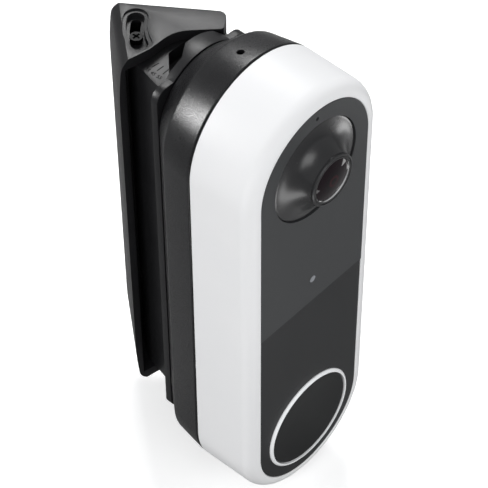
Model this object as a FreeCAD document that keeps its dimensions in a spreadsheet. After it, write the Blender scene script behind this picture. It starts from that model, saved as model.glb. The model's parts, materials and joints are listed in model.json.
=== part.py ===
import FreeCAD, Part
import math
import os
import re
import Sketcher
from FreeCAD import Placement, Rotation, Vector

# Video doorbell on a swivelling wall bracket, in millimetres.
#
# The row's frame: the origin is the middle of the bracket's back face, +X runs to the
# right along the wall, +Y points into the wall and +Z is up.
# The head's frame: the origin is the middle of the doorbell's front panel, +X is to the
# right seen from the front, +Y points backwards and +Z is up. Every piece on the swivel
# head is drawn in this frame and then turned about the pivot by rest_swivel.

# Sizes that can each be set by themselves.
SIZES = {
    # doorbell outline, front to back
    "door_width": 47.5,
    "door_height": 143.7,
    "door_depth": 36.4,
    "shell_draft": 0.45,
    "shell_rounding": 3.8,
    "shell_wall": 2.0,
    "seam_at": 19.0,
    "gasket_thickness": 0.4,
    "gasket_inset": 0.45,
    "band_draft": 1.5,
    "back_slope_depth": 7.4,
    "back_inset": 7.75,
    "back_wall": 2.0,
    "tongue_gap": 0.35,
    "tongue_thickness": 1.4,
    "tongue_depth": 2.6,
    "cavity_taper_lead": 1.5,
    # front panel
    "rim_width": 4.55,
    "panel_gap": 0.1,
    "panel_thickness": 3.0,
    "flange_gap": 0.55,
    "flange_thickness": 1.2,
    "panel_step": 0.25,
    "panel_step_at": 0.7,
    "microphone_inset": 2.4,
    "microphone_hole_radius": 0.55,
    "microphone_seal_wall": 0.6,
    "microphone_half_width": 1.9,
    "microphone_half_height": 1.5,
    "microphone_thickness": 1.1,
    "status_light_at": 8.8,
    "status_light_radius": 1.0,
    "status_collar_width": 0.6,
    "lamp_half_width": 0.8,
    "lamp_thickness": 0.7,
    "press_fit": 0.05,
    # camera
    "hood_margin": 4.75,
    "hood_gap": 0.15,
    "hood_edge_at": 0.3,
    "hood_flare_radius": 8.6,
    "hood_wall": 1.5,
    "hood_flange_width": 0.95,
    "hood_flange_thickness": 1.0,
    "nose_radius": 7.2,
    "nose_proud": 4.6,
    "nose_wall": 0.9,
    "ring_height": 0.8,
    "ring_chamfer": 0.25,
    "glass_inset": 0.3,
    "glass_below_ring": 0.15,
    "glass_dome": 18.0,
    "glass_seat": 0.6,
    "barrel_gap": 0.2,
    "barrel_wall": 1.5,
    "barrel_foot_width": 2.1,
    "barrel_foot_standoff": 3.0,
    "barrel_foot_thickness": 1.8,
    "barrel_foot_step": 1.2,
    "lens_curve": 13.8,
    "lens_half_edge": 0.5,
    "front_lens_gap": 0.12,
    "middle_lens_at": 2.0,
    "rear_lens_inset": 3.0,
    "camera_board_thickness": 1.2,
    "camera_board_side": 2.4,
    "camera_board_end": 0.9,
    "camera_post_radius": 1.4,
    "camera_post_gap": 0.6,
    "sensor_half_width": 4.0,
    "sensor_half_height": 3.2,
    "sensor_thickness": 1.0,
    # call button
    "light_ring_margin": 3.65,
    "light_ring_width": 0.85,
    "light_ring_flat": 0.35,
    "light_ring_proud": 0.5,
    "button_gap": 0.3,
    "button_below_ring": 0.25,
    "button_dish_radius": 200.0,
    "button_thickness": 1.9,
    "button_travel": 0.5,
    "button_seal_thickness": 0.8,
    "button_seal_margin": 1.5,
    "plunger_radius": 2.2,
    "plunger_reach": 0.9,
    "switch_gap": 0.1,
    "switch_stem_height": 0.6,
    "switch_stem_radius": 1.7,
    "switch_half_width": 3.0,
    "switch_window_gap": 0.3,
    # inner frame and electronics
    "frame_gap": 1.8,
    "frame_thickness": 1.6,
    "frame_rim": 1.0,
    "board_standoff": 2.0,
    "board_thickness": 1.2,
    "board_margin": 3.5,
    "board_top_inset": 20.1,
    "post_radius": 2.2,
    "pilot_floor": 0.8,
    "shield_half_width": 8.0,
    "shield_half_height": 7.5,
    "shield_x": -1.0,
    "shield_z": 11.5,
    "shield_height": 2.0,
    "shield_wall": 0.3,
    "antenna_half_width": 9.0,
    "antenna_height": 5.0,
    "antenna_inset": 1.0,
    "antenna_thickness": 1.0,
    "battery_height": 68.0,
    "battery_centre": 2.0,
    "battery_standoff": 3.2,
    "battery_side_gap": 5.0,
    "battery_back_gap": 4.4,
    "battery_gap": 0.3,
    "battery_rounding": 3.0,
    "battery_pad_half_width": 10.0,
    "battery_pad_at": 22.6,
    "contact_radius": 0.8,
    "contact_pitch": 5.0,
    "contact_at": -3.0,
    "rib_thickness": 1.6,
    "rib_overlap": 9.0,
    "root": 0.5,
    "speaker_radius": 8.5,
    "speaker_depth": 5.6,
    "speaker_gap": 0.1,
    "speaker_ring_wall": 1.5,
    "speaker_ring_depth": 3.0,
    "speaker_seal_thickness": 1.2,
    "speaker_seal_width": 1.6,
    "magnet_radius": 5.1,
    "magnet_depth": 1.5,
    "outlet_pitch": 3.0,
    "outlet_half_width": 0.6,
    "outlet_front_margin": 2.6,
    "outlet_back_margin": 2.0,
    "outlet_depth": 6.0,
    # screws
    "case_screw_inset": 6.8,
    "case_screw_radius": 1.2,
    "case_screw_bite": 8.0,
    "case_head_radius": 2.1,
    "case_head_height": 1.6,
    "case_head_sunk": 0.4,
    "case_boss_radius": 3.0,
    "case_boss_gap": 1.1,
    "column_step": 0.4,
    "board_screw_inset": 4.3,
    "board_screw_drop": 10.0,
    "board_screw_rise": 16.0,
    "board_screw_radius": 1.0,
    "board_head_radius": 1.9,
    "board_head_height": 1.0,
    "recess_depth": 0.6,
    "screw_fit": 0.02,
    "hole_gap": 0.15,
    # mounting plate and release latch
    "plate_gap": 0.1,
    "plate_thickness": 2.0,
    "plate_floor": 0.8,
    "plate_corner_radius": 3.5,
    "cap_depth": 2.8,
    "cap_right_inset": 4.2,
    "cap_right_depth": 0.9,
    "cap_left_depth": 0.4,
    "cap_left_end": -4.6,
    "cap_rear_left": -0.8,
    "plate_screw_left_inset": 5.4,
    "plate_screw_right_inset": 7.5,
    "plate_screw_inset": 12.6,
    "plate_screw_length": 9.0,
    "release_offset": 0.2,
    "release_hole_radius": 1.0,
    "release_hole_depth": 8.0,
    "latch_width": 7.0,
    "latch_thickness": 2.4,
    "latch_foot_height": 2.2,
    "latch_top_gap": 1.0,
    "latch_catch_height": 2.8,
    "latch_catch_depth": 1.1,
    "latch_catch_gap": 0.6,
    "latch_travel": 1.5,
    "guide_gap": 0.3,
    "guide_above_foot": 7.0,
    "spring_behind": 5.0,
    "spring_radius": 2.0,
    "spring_wire_radius": 0.3,
    "spring_end_gap": 0.05,
    "spring_turns": 6.0,
    "spring_length": 10.0,
    "hook_inset": 1.9,
    "hook_above_shoulder": 1.7,
    "hook_half_width": 3.5,
    "hook_thickness": 1.6,
    "hook_reach": 3.3,
    "hook_lip": 1.3,
    "hook_lip_depth": 0.9,
    # swivel
    "rest_swivel": 55.0,
    "swivel_travel": 20.0,
    "swivel_gap": 0.3,
    "pivot_x": 11.0,
    "pivot_y": -4.6,
    "pivot_standoff": 5.5,
    "pivot_radius": 1.25,
    "pivot_clearance": 0.05,
    "pivot_boss_radius": 2.5,
    "pivot_depth": 9.0,
    "pivot_reach": 2.0,
    "pivot_end_gap": 0.1,
    "arm_overreach": 9.5,
    "arm_left_inset": 4.1,
    "arm_left_lean": 1.9,
    "arm_left_depth": 8.0,
    "arm_right_inset": 2.5,
    "arm_behind_pivot": 2.3,
    "arm_wall": 2.4,
    "arm_front_wall": 3.0,
    "arm_heel_wall": 3.9,
    "arm_boss_wall": 2.0,
    "arm_rib": 4.0,
    "arm_solid_end": 19.6,
    "arm_pocket_depth": 4.0,
    "arm_pocket_wall": 1.2,
    "arm_pocket_left": -6.2,
    "arm_pocket_left_depth": 3.2,
    "arm_pocket_corner": -1.2,
    "arm_pocket_right": 6.0,
    "arm_pocket_full_depth": 8.2,
    "sweep_margin": 2.3,
    "lock_inset": 2.4,
    "lock_angle": 145.1,
    "lock_screw_radius": 1.0,
    "lock_screw_clearance": 0.05,
    "lock_screw_length": 11.0,
    "lock_screw_end_gap": 0.5,
    "lock_head_radius": 1.65,
    "lock_head_height": 1.5,
    "lock_head_lift": 0.1,
    "lock_recess_half_width": 0.3,
    "lock_recess_reach": 1.1,
    "lock_recess_depth": 0.7,
    # bracket
    "bracket_end_wall": 3.1,
    "bracket_side_wall": 1.9,
    "bracket_side_lean": 6.33,
    "bracket_back_wall": 1.8,
    "bracket_lip": 11.4,
    "bracket_lip_left": 2.75,
    "bracket_shoulder": 4.9,
    "bracket_shoulder_right": 4.0,
    "bracket_waist": 4.0,
    "bracket_waist_right": 5.15,
    "bracket_waist_rounding": 9.0,
    "bracket_end": 3.5,
    "bracket_end_rear_rounding": 2.2,
    "bracket_end_front_rounding": 1.2,
    "bracket_end_front": 1.8,
    "bracket_corner_height": 14.0,
    "bracket_corner_inset": 2.9,
    "slot_half_width": 1.3,
    "slot_step_width": 0.9,
    "slot_step_depth": 2.2,
    "slot_recess_width": 0.9,
    "slot_recess_depth": 0.6,
    "slot_front_margin": 9.0,
    "wall_hole_inset": 7.05,
    "wall_hole_spacing": 76.0,
    "wall_hole_radius": 2.1,
    # how far a cut runs past what it cuts
    "overrun": 1.0,
}

# Sizes and places worked out from those above: each piece takes them from what it meets.
FITS = {
    "outer": "door_width / 2",
    "reach": "(door_height - door_width) / 2",
    "housing_front": "seam_at + gasket_thickness",
    "band_end": "door_depth - back_slope_depth",
    "back_inside": "door_depth - back_wall",
    "back_radius": "outer - back_inset",
    "tongue_radius": "outer - shell_wall - tongue_gap",
    "cavity_radius": "tongue_radius - tongue_thickness",
    "cavity_taper_at": "band_end - cavity_taper_lead",
    "cavity_back_radius": "back_radius - back_wall",
    "panel_radius": "outer - rim_width",
    "panel_back": "panel_thickness + flange_thickness",
    "flange_radius": "outer - shell_wall - flange_gap",
    "frame_at": "panel_back + frame_gap",
    "frame_back": "frame_at + frame_thickness",
    "board_at": "frame_back + board_standoff",
    "board_back": "board_at + board_thickness",
    "board_radius": "cavity_radius - board_margin",
    "board_top": "reach - board_top_inset",
    "microphone_at": "reach + panel_radius - microphone_inset",
    "hood_radius": "panel_radius - hood_margin",
    "hood_flange_radius": "hood_radius + hood_flange_width",
    "nose_front": "-nose_proud - ring_height",
    "neck_radius": "nose_radius - nose_wall",
    "barrel_radius": "neck_radius - barrel_gap",
    "barrel_bore": "barrel_radius - barrel_wall",
    "barrel_front": "-nose_proud + glass_seat",
    "barrel_foot_radius": "barrel_radius + barrel_foot_width",
    "barrel_foot_at": "frame_back + barrel_foot_standoff",
    "glass_radius": "barrel_radius - glass_inset",
    "camera_board_at": "barrel_foot_at + barrel_foot_thickness",
    "camera_post_at": "(barrel_foot_radius + camera_post_gap + camera_post_radius) / sqrt(2)",
    "camera_half_width": "camera_post_at + camera_post_radius + camera_board_side",
    "camera_half_height": "camera_post_at + camera_post_radius + camera_board_end",
    "light_ring_radius": "panel_radius - light_ring_margin",
    "light_ring_bore": "light_ring_radius - light_ring_width",
    "plunger_end": "panel_back + button_seal_thickness + plunger_reach",
    "switch_stem_front": "plunger_end + button_travel + switch_gap",
    "switch_front": "switch_stem_front + switch_stem_height",
    "battery_front": "board_back + battery_standoff",
    "battery_back": "back_inside - battery_back_gap",
    "battery_half_width": "cavity_radius - battery_side_gap",
    "battery_low": "battery_centre - battery_height / 2",
    "battery_high": "battery_centre + battery_height / 2",
    "case_screw_x": "cavity_radius - case_screw_inset",
    "case_screw_high": "battery_high + battery_gap + rib_thickness + case_boss_gap + case_boss_radius",
    "case_screw_low": "battery_low - battery_gap - rib_thickness - case_boss_gap - case_boss_radius",
    "case_head_seat": "door_depth - case_head_sunk - case_head_height",
    "board_screw_x": "board_radius - board_screw_inset",
    "board_screw_high": "board_top - board_screw_drop",
    "board_screw_low": "case_screw_low + board_screw_rise",
    "speaker_ring": "speaker_ring_wall + speaker_radius + speaker_gap",
    "speaker_centre": "battery_low - battery_gap - rib_thickness - speaker_ring",
    "speaker_seal_front": "back_inside - speaker_seal_thickness",
    "speaker_front": "speaker_seal_front - speaker_depth",
    "plate_front": "door_depth + plate_gap",
    "plate_back": "plate_front + plate_thickness",
    "plate_screw_seat": "plate_back - plate_floor",
    "plate_half_width": "back_radius",
    "cap_right": "plate_half_width - cap_right_inset",
    "hook_outer": "reach + back_radius - hook_inset",
    "plate_half_height": "hook_outer - hook_above_shoulder",
    "release_hole_at": "(housing_front + band_end) / 2 - release_offset",
    "guide_front": "release_hole_at - latch_thickness",
    "guide_inner": "latch_width / 2 + guide_gap",
    "guide_outer": "guide_inner + rib_thickness",
    "latch_foot": "hook_outer - hook_thickness - latch_catch_gap - latch_catch_height - latch_foot_height",
    "latch_top": "reach + cavity_radius - latch_top_gap",
    "spring_foot": "latch_foot - spring_length",
    "spring_rise": "spring_length - 2 * (spring_wire_radius + spring_end_gap)",
    "arm_half_height": "reach + arm_overreach",
    "arm_left_front": "arm_left_inset - plate_half_width",
    "arm_left_rear": "arm_left_front + arm_left_lean",
    "arm_right": "plate_half_width - arm_right_inset",
    "arm_window_pitch": "(arm_half_height - arm_solid_end + arm_rib / 2) / 2.5",
    "arm_window_height": "arm_window_pitch - arm_rib",
    "plate_screw_left": "arm_left_front + plate_screw_left_inset",
    "plate_screw_right": "arm_right - plate_screw_right_inset",
    "plate_screw_height": "arm_half_height - plate_screw_inset",
    "pivot_across": "arm_right - pivot_boss_radius",
    "pivot_behind": "plate_back + pivot_standoff",
    "lock_radius": "pivot_across - arm_left_rear - lock_inset",
    "lock_x": "pivot_across + lock_radius * cos(lock_angle * 1 deg)",
    "lock_y": "pivot_behind + lock_radius * sin(lock_angle * 1 deg)",
    "arm_sweep_radius": "lock_radius + sweep_margin",
    "slot_end_x": "pivot_x + lock_radius * cos((lock_angle + rest_swivel) * 1 deg)",
    "slot_end_y": "pivot_y + lock_radius * sin((lock_angle + rest_swivel) * 1 deg)",
    "slot_step_half_width": "slot_half_width + slot_step_width",
    "slot_recess_half_width": "slot_step_half_width + slot_recess_width",
    "bracket_inside": "arm_half_height + swivel_gap",
    "half_bracket": "bracket_inside + bracket_end_wall",
    "slot_shelf": "half_bracket - slot_step_depth",
    "bracket_front_left": "slot_end_x - bracket_lip_left",
    "bracket_left": "bracket_front_left - bracket_side_lean",
    "bracket_front": "slot_end_y - bracket_lip",
    "bracket_shoulder_x": "slot_end_x + bracket_shoulder_right",
    "bracket_shoulder_y": "slot_end_y - bracket_shoulder",
    "bracket_waist_x": "bracket_shoulder_x + bracket_waist_right",
    "bracket_waist_y": "pivot_y - bracket_waist",
    "bracket_right": "pivot_x + bracket_end",
    "bracket_right_front": "pivot_y - bracket_end_front",
    "bracket_slope": "bracket_side_lean / -bracket_front",
    "bracket_lean": "sqrt(1 + bracket_slope ^ 2)",
    "wall_hole_x": "bracket_left + wall_hole_inset",
}

# Chips on the back of the main board: half width, half height, thickness, X and Z.
CHIPS = ((4.0, 4.0, 1.0, 4.0, -12.0),
         (3.0, 2.5, 1.0, -6.0, -28.0),
         (2.5, 2.0, 0.9, 6.0, -30.0),
         (2.0, 3.0, 1.4, -10.0, -10.0),
         (1.6, 1.5, 0.8, 9.0, 2.0))

doc = FreeCAD.newDocument("video_doorbell")
sheet = doc.addObject("Spreadsheet::Sheet", "dims")
cells = list(SIZES.items()) + [(alias, "=" + text) for alias, text in FITS.items()]
for row, (alias, content) in enumerate(cells, start=1):
    sheet.set(f"A{row}", alias)
    sheet.setAlias(f"B{row}", alias)
    sheet.set(f"B{row}", str(content))
doc.recompute()

FUNCTIONS = {"cos", "sin", "tan", "sqrt", "deg", "atan"}
HALF_TURN = math.pi
sub_parts = []


def bound(text):
    """Turn plain size names into the sheet's references."""
    def reference(match):
        word = match.group(0)
        return word if word in FUNCTIONS else "dims." + word
    return re.sub(r"[a-z][a-z_]+", reference, str(text))


def number(text):
    """The present value of an expression."""
    result = sheet.evalExpression(bound(text))
    return float(getattr(result, "Value", result))


def bind(item, prop, text):
    item.setExpression(prop, bound(text))


def keep(item, name, on_head):
    """Register a finished piece and put it in the row's frame."""
    if item.TypeId in ("Part::Box", "Part::Cylinder"):
        item = group(item)
    item.Label = name
    if on_head:
        item.Placement = Placement(Vector(), Rotation(Vector(0, 0, 1), 1))
        bind(item, "Placement.Rotation.Angle", "rest_swivel * 1 deg")
        turn = "rest_swivel * 1 deg"
        bind(item, "Placement.Base.x",
             f"pivot_x - pivot_across * cos({turn}) + pivot_behind * sin({turn})")
        bind(item, "Placement.Base.y",
             f"pivot_y - pivot_across * sin({turn}) - pivot_behind * cos({turn})")
    sub_parts.append(item)
    return item


# ---------------------------------------------------------------- sketches

def new_body(name):
    return doc.addObject("PartDesign::Body", name + "_body")


def sketch_on(body, role, offset="0"):
    """A sketch on one of the body's own planes, moved along that plane's normal."""
    plane = [part for part in body.Origin.OriginFeatures if part.Role == role][0]
    sketch = body.newObject("Sketcher::SketchObject", "sketch")
    sketch.AttachmentSupport = (plane, "")
    sketch.MapMode = "FlatFace"
    bind(sketch, "AttachmentOffset.Base.z", offset)
    return sketch


def face_sketch(body, depth="0"):
    """A sketch seen from the front, at this depth (its axes are X and Z)."""
    return sketch_on(body, "XZ_Plane", f"-({depth})")


def plan_sketch(body, height="0"):
    """A sketch seen from above, at this height (its axes are X and Y)."""
    return sketch_on(body, "XY_Plane", height)


def constrain(sketch, kind, *where):
    *places, text = where
    index = sketch.addConstraint(Sketcher.Constraint(kind, *places, number(text)))
    bind(sketch, f"Constraints[{index}]", text)


def pin_point(sketch, geometry, point, x, y):
    constrain(sketch, "DistanceX", -1, 1, geometry, point, x)
    constrain(sketch, "DistanceY", -1, 1, geometry, point, y)


def circle(sketch, radius, x="0", y="0"):
    centre = Vector(number(x), number(y), 0)
    index = sketch.addGeometry(Part.Circle(centre, Vector(0, 0, 1), number(radius)))
    pin_point(sketch, index, 3, x, y)
    constrain(sketch, "Radius", index, radius)


def outline(sketch, corners, arcs=None):
    """A closed outline; arcs gives the radius and turn (+1 left, -1 right) of an edge."""
    arcs = arcs or {}
    points = [Vector(number(x), number(y), 0) for x, y in corners]
    count = len(points)
    edges = []
    for step, start in enumerate(points):
        end = points[(step + 1) % count]
        if step in arcs:
            radius, turn = arcs[step]
            chord = end - start
            half = chord.Length / 2
            rise = number(radius) - (number(radius) ** 2 - half ** 2) ** 0.5
            side = Vector(chord.y, -chord.x, 0).normalize() * (rise * turn)
            middle = (start + end) * 0.5 + side
            edge = Part.Arc(start, middle, end)
        else:
            edge = Part.LineSegment(start, end)
        edges.append(sketch.addGeometry(edge))
    for step, edge in enumerate(edges):
        following = edges[(step + 1) % count]
        ends = [end_index(sketch, edge, points[(step + 1) % count]),
                end_index(sketch, following, points[(step + 1) % count])]
        sketch.addConstraint(Sketcher.Constraint("Coincident", edge, ends[0], following, ends[1]))
    for step, (x, y) in enumerate(corners):
        pin_point(sketch, edges[step], end_index(sketch, edges[step], points[step]), x, y)
        if step in arcs:
            constrain(sketch, "Radius", edges[step], arcs[step][0])


def end_index(sketch, geometry, point):
    """Which end of an edge lies on the point: 1 is its start, 2 its end."""
    start = sketch.getPoint(geometry, 1)
    end = sketch.getPoint(geometry, 2)
    return 1 if (start - point).Length <= (end - point).Length else 2


def rectangle(sketch, x_low, x_high, y_low, y_high):
    outline(sketch, [(x_low, y_low), (x_high, y_low), (x_high, y_high), (x_low, y_high)])


def stadium(sketch, radius, low="-reach", high="reach"):
    """Two half circles on the Z axis joined by straight sides."""
    size = number(radius)
    bottom = number(low)
    top = number(high)
    up = Vector(0, 0, 1)
    cap = sketch.addGeometry(Part.ArcOfCircle(Part.Circle(Vector(0, top, 0), up, size), 0, HALF_TURN))
    left = sketch.addGeometry(Part.LineSegment(Vector(-size, top, 0), Vector(-size, bottom, 0)))
    foot = sketch.addGeometry(
        Part.ArcOfCircle(Part.Circle(Vector(0, bottom, 0), up, size), HALF_TURN, 2 * HALF_TURN))
    right = sketch.addGeometry(Part.LineSegment(Vector(size, bottom, 0), Vector(size, top, 0)))
    loop = [cap, left, foot, right]
    for step, edge in enumerate(loop):
        following = loop[(step + 1) % 4]
        sketch.addConstraint(Sketcher.Constraint("Tangent", edge, 2, following, 1))
    sketch.addConstraint(Sketcher.Constraint("PointOnObject", cap, 3, -2))
    sketch.addConstraint(Sketcher.Constraint("PointOnObject", foot, 3, -2))
    constrain(sketch, "DistanceY", -1, 1, cap, 3, high)
    constrain(sketch, "DistanceY", -1, 1, foot, 3, low)
    constrain(sketch, "Radius", cap, radius)
    sketch.addConstraint(Sketcher.Constraint("Equal", cap, foot))


def swivel_slot(sketch, half_width, margin):
    """The lock screw's curved slot about the pivot, longer by margin degrees at its front end."""
    centre = Vector(number("pivot_x"), number("pivot_y"), 0)
    width = number(half_width)
    middle = number("lock_radius")
    first = "lock_angle + rest_swivel - swivel_travel"
    last = f"lock_angle + rest_swivel + {margin}"
    spots = []
    for angle in (first, last):
        x = f"pivot_x + lock_radius * cos(({angle}) * 1 deg)"
        y = f"pivot_y + lock_radius * sin(({angle}) * 1 deg)"
        spots.append((x, y))
    low, high = (math.radians(number(angle)) for angle in (first, last))
    up = Vector(0, 0, 1)

    def arc(middle_point, radius, start, end):
        return sketch.addGeometry(
            Part.ArcOfCircle(Part.Circle(middle_point, up, radius), start, end))

    start_point, end_point = (Vector(number(x), number(y), 0) for x, y in spots)
    outer = arc(centre, middle + width, low, high)
    end_cap = arc(end_point, width, high, high + HALF_TURN)
    inner = arc(centre, middle - width, low, high)
    start_cap = arc(start_point, width, low + HALF_TURN, low + 2 * HALF_TURN)
    for one, end, other, start in ((outer, 2, end_cap, 1), (end_cap, 2, inner, 2),
                                   (inner, 1, start_cap, 1), (start_cap, 2, outer, 1)):
        sketch.addConstraint(Sketcher.Constraint("Tangent", one, end, other, start))
    sketch.addConstraint(Sketcher.Constraint("Coincident", outer, 3, inner, 3))
    pin_point(sketch, outer, 3, "pivot_x", "pivot_y")
    pin_point(sketch, start_cap, 3, *spots[0])
    constrain(sketch, "DistanceY", -1, 1, end_cap, 3, spots[1][1])
    constrain(sketch, "Radius", start_cap, half_width)


# ---------------------------------------------------------------- features

def volume_of(feature):
    return feature.Shape.Volume if feature is not None else 0.0


def feature_on(body, kind, profile, length=None, backwards=False):
    start = volume_of(body.Tip)
    feature = body.newObject("PartDesign::" + kind, kind.lower())
    feature.Profile = profile
    if length is not None:
        bind(feature, "Length", length)
    feature.Reversed = backwards
    doc.recompute()
    change = volume_of(feature) - start
    if (change if kind == "Pad" else -change) < 1e-6:
        raise RuntimeError(f"{body.Name}: {feature.Name} changed nothing")
    return feature


def pad_back(body, profile, length):
    """Pad a front-view sketch towards +Y."""
    return feature_on(body, "Pad", profile, length, backwards=True)


def pocket_back(body, profile, length):
    """Pocket a front-view sketch towards +Y."""
    return feature_on(body, "Pocket", profile, length)


def pad_up(body, profile, length):
    """Pad a plan-view sketch towards +Z."""
    return feature_on(body, "Pad", profile, length)


def pocket_up(body, profile, length):
    """Pocket a plan-view sketch towards +Z."""
    return feature_on(body, "Pocket", profile, length, backwards=True)


def revolve(body, corners, height="0", arcs=None):
    """Turn a (radius, depth) outline about the Y axis at this height."""
    profile = plan_sketch(body, height)
    outline(profile, corners, arcs)
    feature = body.newObject("PartDesign::Revolution", "revolution")
    feature.Profile = profile
    feature.ReferenceAxis = (profile, ["V_Axis"])
    feature.Angle = 360
    doc.recompute()
    return feature


def round_edges(body, feature, edges, radius):
    rounding = body.newObject("PartDesign::Fillet", "rounding")
    rounding.Base = (feature, edges)
    bind(rounding, "Radius", radius)
    doc.recompute()
    return rounding


def loft(body, kind, sections):
    """Join stadium sections, given as (depth, radius), by straight walls."""
    sketches = []
    for depth, radius in sections:
        section = face_sketch(body, depth)
        stadium(section, radius)
        sketches.append(section)
    before = volume_of(body.Tip)
    feature = body.newObject("PartDesign::" + kind, "loft")
    feature.Profile = sketches[0]
    feature.Sections = sketches[1:]
    feature.Ruled = True
    doc.recompute()
    if abs(volume_of(feature) - before) < 1e-6:
        raise RuntimeError(f"{body.Name}: the loft changed nothing")
    return feature


def mirror_up_down(body, features):
    """Repeat features on the other side of the plane Z = 0."""
    mirrored = body.newObject("PartDesign::Mirrored", "mirrored")
    mirrored.Originals = features
    plane = [part for part in body.Origin.OriginFeatures if part.Role == "XY_Plane"][0]
    mirrored.MirrorPlane = (plane, [""])
    body.Tip = mirrored
    doc.recompute()
    return mirrored


def revolved_piece(name, corners, height="0", arcs=None):
    body = new_body(name)
    revolve(body, corners, height, arcs)
    return keep(body, name, True)


# ---------------------------------------------------------------- primitives

def box(x_low, x_high, y_low, y_high, z_low, z_high):
    item = doc.addObject("Part::Box", "box")
    bind(item, "Length", f"({x_high}) - ({x_low})")
    bind(item, "Width", f"({y_high}) - ({y_low})")
    bind(item, "Height", f"({z_high}) - ({z_low})")
    bind(item, "Placement.Base.x", x_low)
    bind(item, "Placement.Base.y", y_low)
    bind(item, "Placement.Base.z", z_low)
    return item


def rod_back(radius, x, z, y_low, y_high):
    """A cylinder along +Y."""
    item = doc.addObject("Part::Cylinder", "rod")
    bind(item, "Radius", radius)
    bind(item, "Height", f"({y_high}) - ({y_low})")
    item.Placement = Placement(Vector(), Rotation(Vector(1, 0, 0), -90))
    bind(item, "Placement.Base.x", x)
    bind(item, "Placement.Base.y", y_low)
    bind(item, "Placement.Base.z", z)
    return item


def rod_up(radius, x, y, z_low, z_high):
    """A cylinder along +Z."""
    item = doc.addObject("Part::Cylinder", "rod")
    bind(item, "Radius", radius)
    bind(item, "Height", f"({z_high}) - ({z_low})")
    bind(item, "Placement.Base.x", x)
    bind(item, "Placement.Base.y", y)
    bind(item, "Placement.Base.z", z_low)
    return item


def cut(base, tool):
    item = doc.addObject("Part::Cut", "cut")
    item.Base = base
    item.Tool = tool
    return item


def fuse(*items):
    item = doc.addObject("Part::MultiFuse", "fuse")
    item.Shapes = list(items)
    item.Refine = True
    return item


def group(*items):
    """Separate solids that share one node."""
    item = doc.addObject("Part::Compound", "group")
    item.Links = list(items)
    return item


def head_screw(shank_radius, head_radius, x, z, tip, seat, top):
    """A screw along Y whose head lies behind its seat, or in front of it."""
    low, high = (tip, seat) if number(tip) < number(seat) else (seat, tip)
    shank = rod_back(shank_radius, x, z, low, high)
    low, high = (seat, top) if number(seat) < number(top) else (top, seat)
    head = rod_back(head_radius, x, z, low, high)
    recess_width = f"{head_radius} * 0.3"
    deep = f"({top}) {'-' if number(top) > number(seat) else '+'} recess_depth"
    low, high = (deep, top) if number(deep) < number(top) else (top, deep)
    arms = []
    for wide, tall in ((f"{head_radius} * 0.65", recess_width), (recess_width, f"{head_radius} * 0.65")):
        arms.append(box(f"({x}) - {wide}", f"({x}) + {wide}", low, high,
                        f"({z}) - {tall}", f"({z}) + {tall}"))
    return cut(fuse(shank, head), fuse(*arms))


# ---------------------------------------------------------------- housing

def front_shell():
    body = new_body("front_shell")
    profile = face_sketch(body)
    stadium(profile, "outer - shell_draft")
    shell = pad_back(body, profile, "seam_at")
    bind(shell, "TaperAngle", "atan(shell_draft / seam_at)")
    doc.recompute()
    front_edges = [f"Edge{index}" for index, edge in enumerate(shell.Shape.Edges, start=1)
                   if edge.BoundBox.YMax < 1e-4]
    round_edges(body, shell, front_edges, "shell_rounding")
    opening = face_sketch(body)
    stadium(opening, "panel_radius + panel_gap")
    pocket_back(body, opening, "seam_at")
    hollow = face_sketch(body, "panel_thickness")
    stadium(hollow, "outer - shell_wall")
    pocket_back(body, hollow, "seam_at - panel_thickness")
    return keep(body, "front_shell", True)


def rear_housing():
    body = new_body("rear_housing")
    loft(body, "AdditiveLoft", [("housing_front", "outer"),
                                ("band_end", "outer - band_draft"),
                                ("door_depth", "back_radius")])
    tongue = face_sketch(body, "housing_front - tongue_depth")
    stadium(tongue, "tongue_radius")
    pad_back(body, tongue, "tongue_depth")
    hollow = face_sketch(body, "housing_front - tongue_depth")
    stadium(hollow, "cavity_radius")
    pocket_back(body, hollow, "cavity_taper_at - housing_front + tongue_depth")
    loft(body, "SubtractiveLoft", [("cavity_taper_at", "cavity_radius"),
                                   ("back_inside", "cavity_back_radius")])
    housing_supports(body)
    latch_guides(body)
    housing_openings(body)
    return keep(body, "rear_housing", True)


def housing_supports(body):
    """Bosses for the case screws, ribs and pads for the battery, and the speaker's ring."""
    for height in ("case_screw_high", "case_screw_low"):
        bosses = face_sketch(body, "housing_front")
        circle(bosses, "case_boss_radius", "-case_screw_x", height)
        circle(bosses, "case_boss_radius", "case_screw_x", height)
        pad_back(body, bosses, "back_inside + root - housing_front")
    low_rib = "battery_low - battery_gap"
    high_rib = "battery_high + battery_gap"
    ribs = face_sketch(body, "battery_back - rib_overlap")
    rectangle(ribs, "-battery_half_width", "battery_half_width", f"{low_rib} - rib_thickness", low_rib)
    rectangle(ribs, "-battery_half_width", "battery_half_width", high_rib, f"{high_rib} + rib_thickness")
    pad_back(body, ribs, "back_inside + root - battery_back + rib_overlap")
    pads = face_sketch(body, "battery_back + battery_gap")
    for height in ("battery_centre - battery_pad_at", "battery_centre + battery_pad_at"):
        rectangle(pads, "-battery_pad_half_width", "battery_pad_half_width",
                  height, f"{height} + rib_thickness")
    pad_back(body, pads, "back_inside + root - battery_back - battery_gap")
    ring = face_sketch(body, "speaker_seal_front - speaker_ring_depth")
    circle(ring, "speaker_radius + speaker_ring_wall", "0", "speaker_centre")
    circle(ring, "speaker_radius + guide_gap", "0", "speaker_centre")
    pad_back(body, ring, "back_inside + root - speaker_seal_front + speaker_ring_depth")


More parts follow.
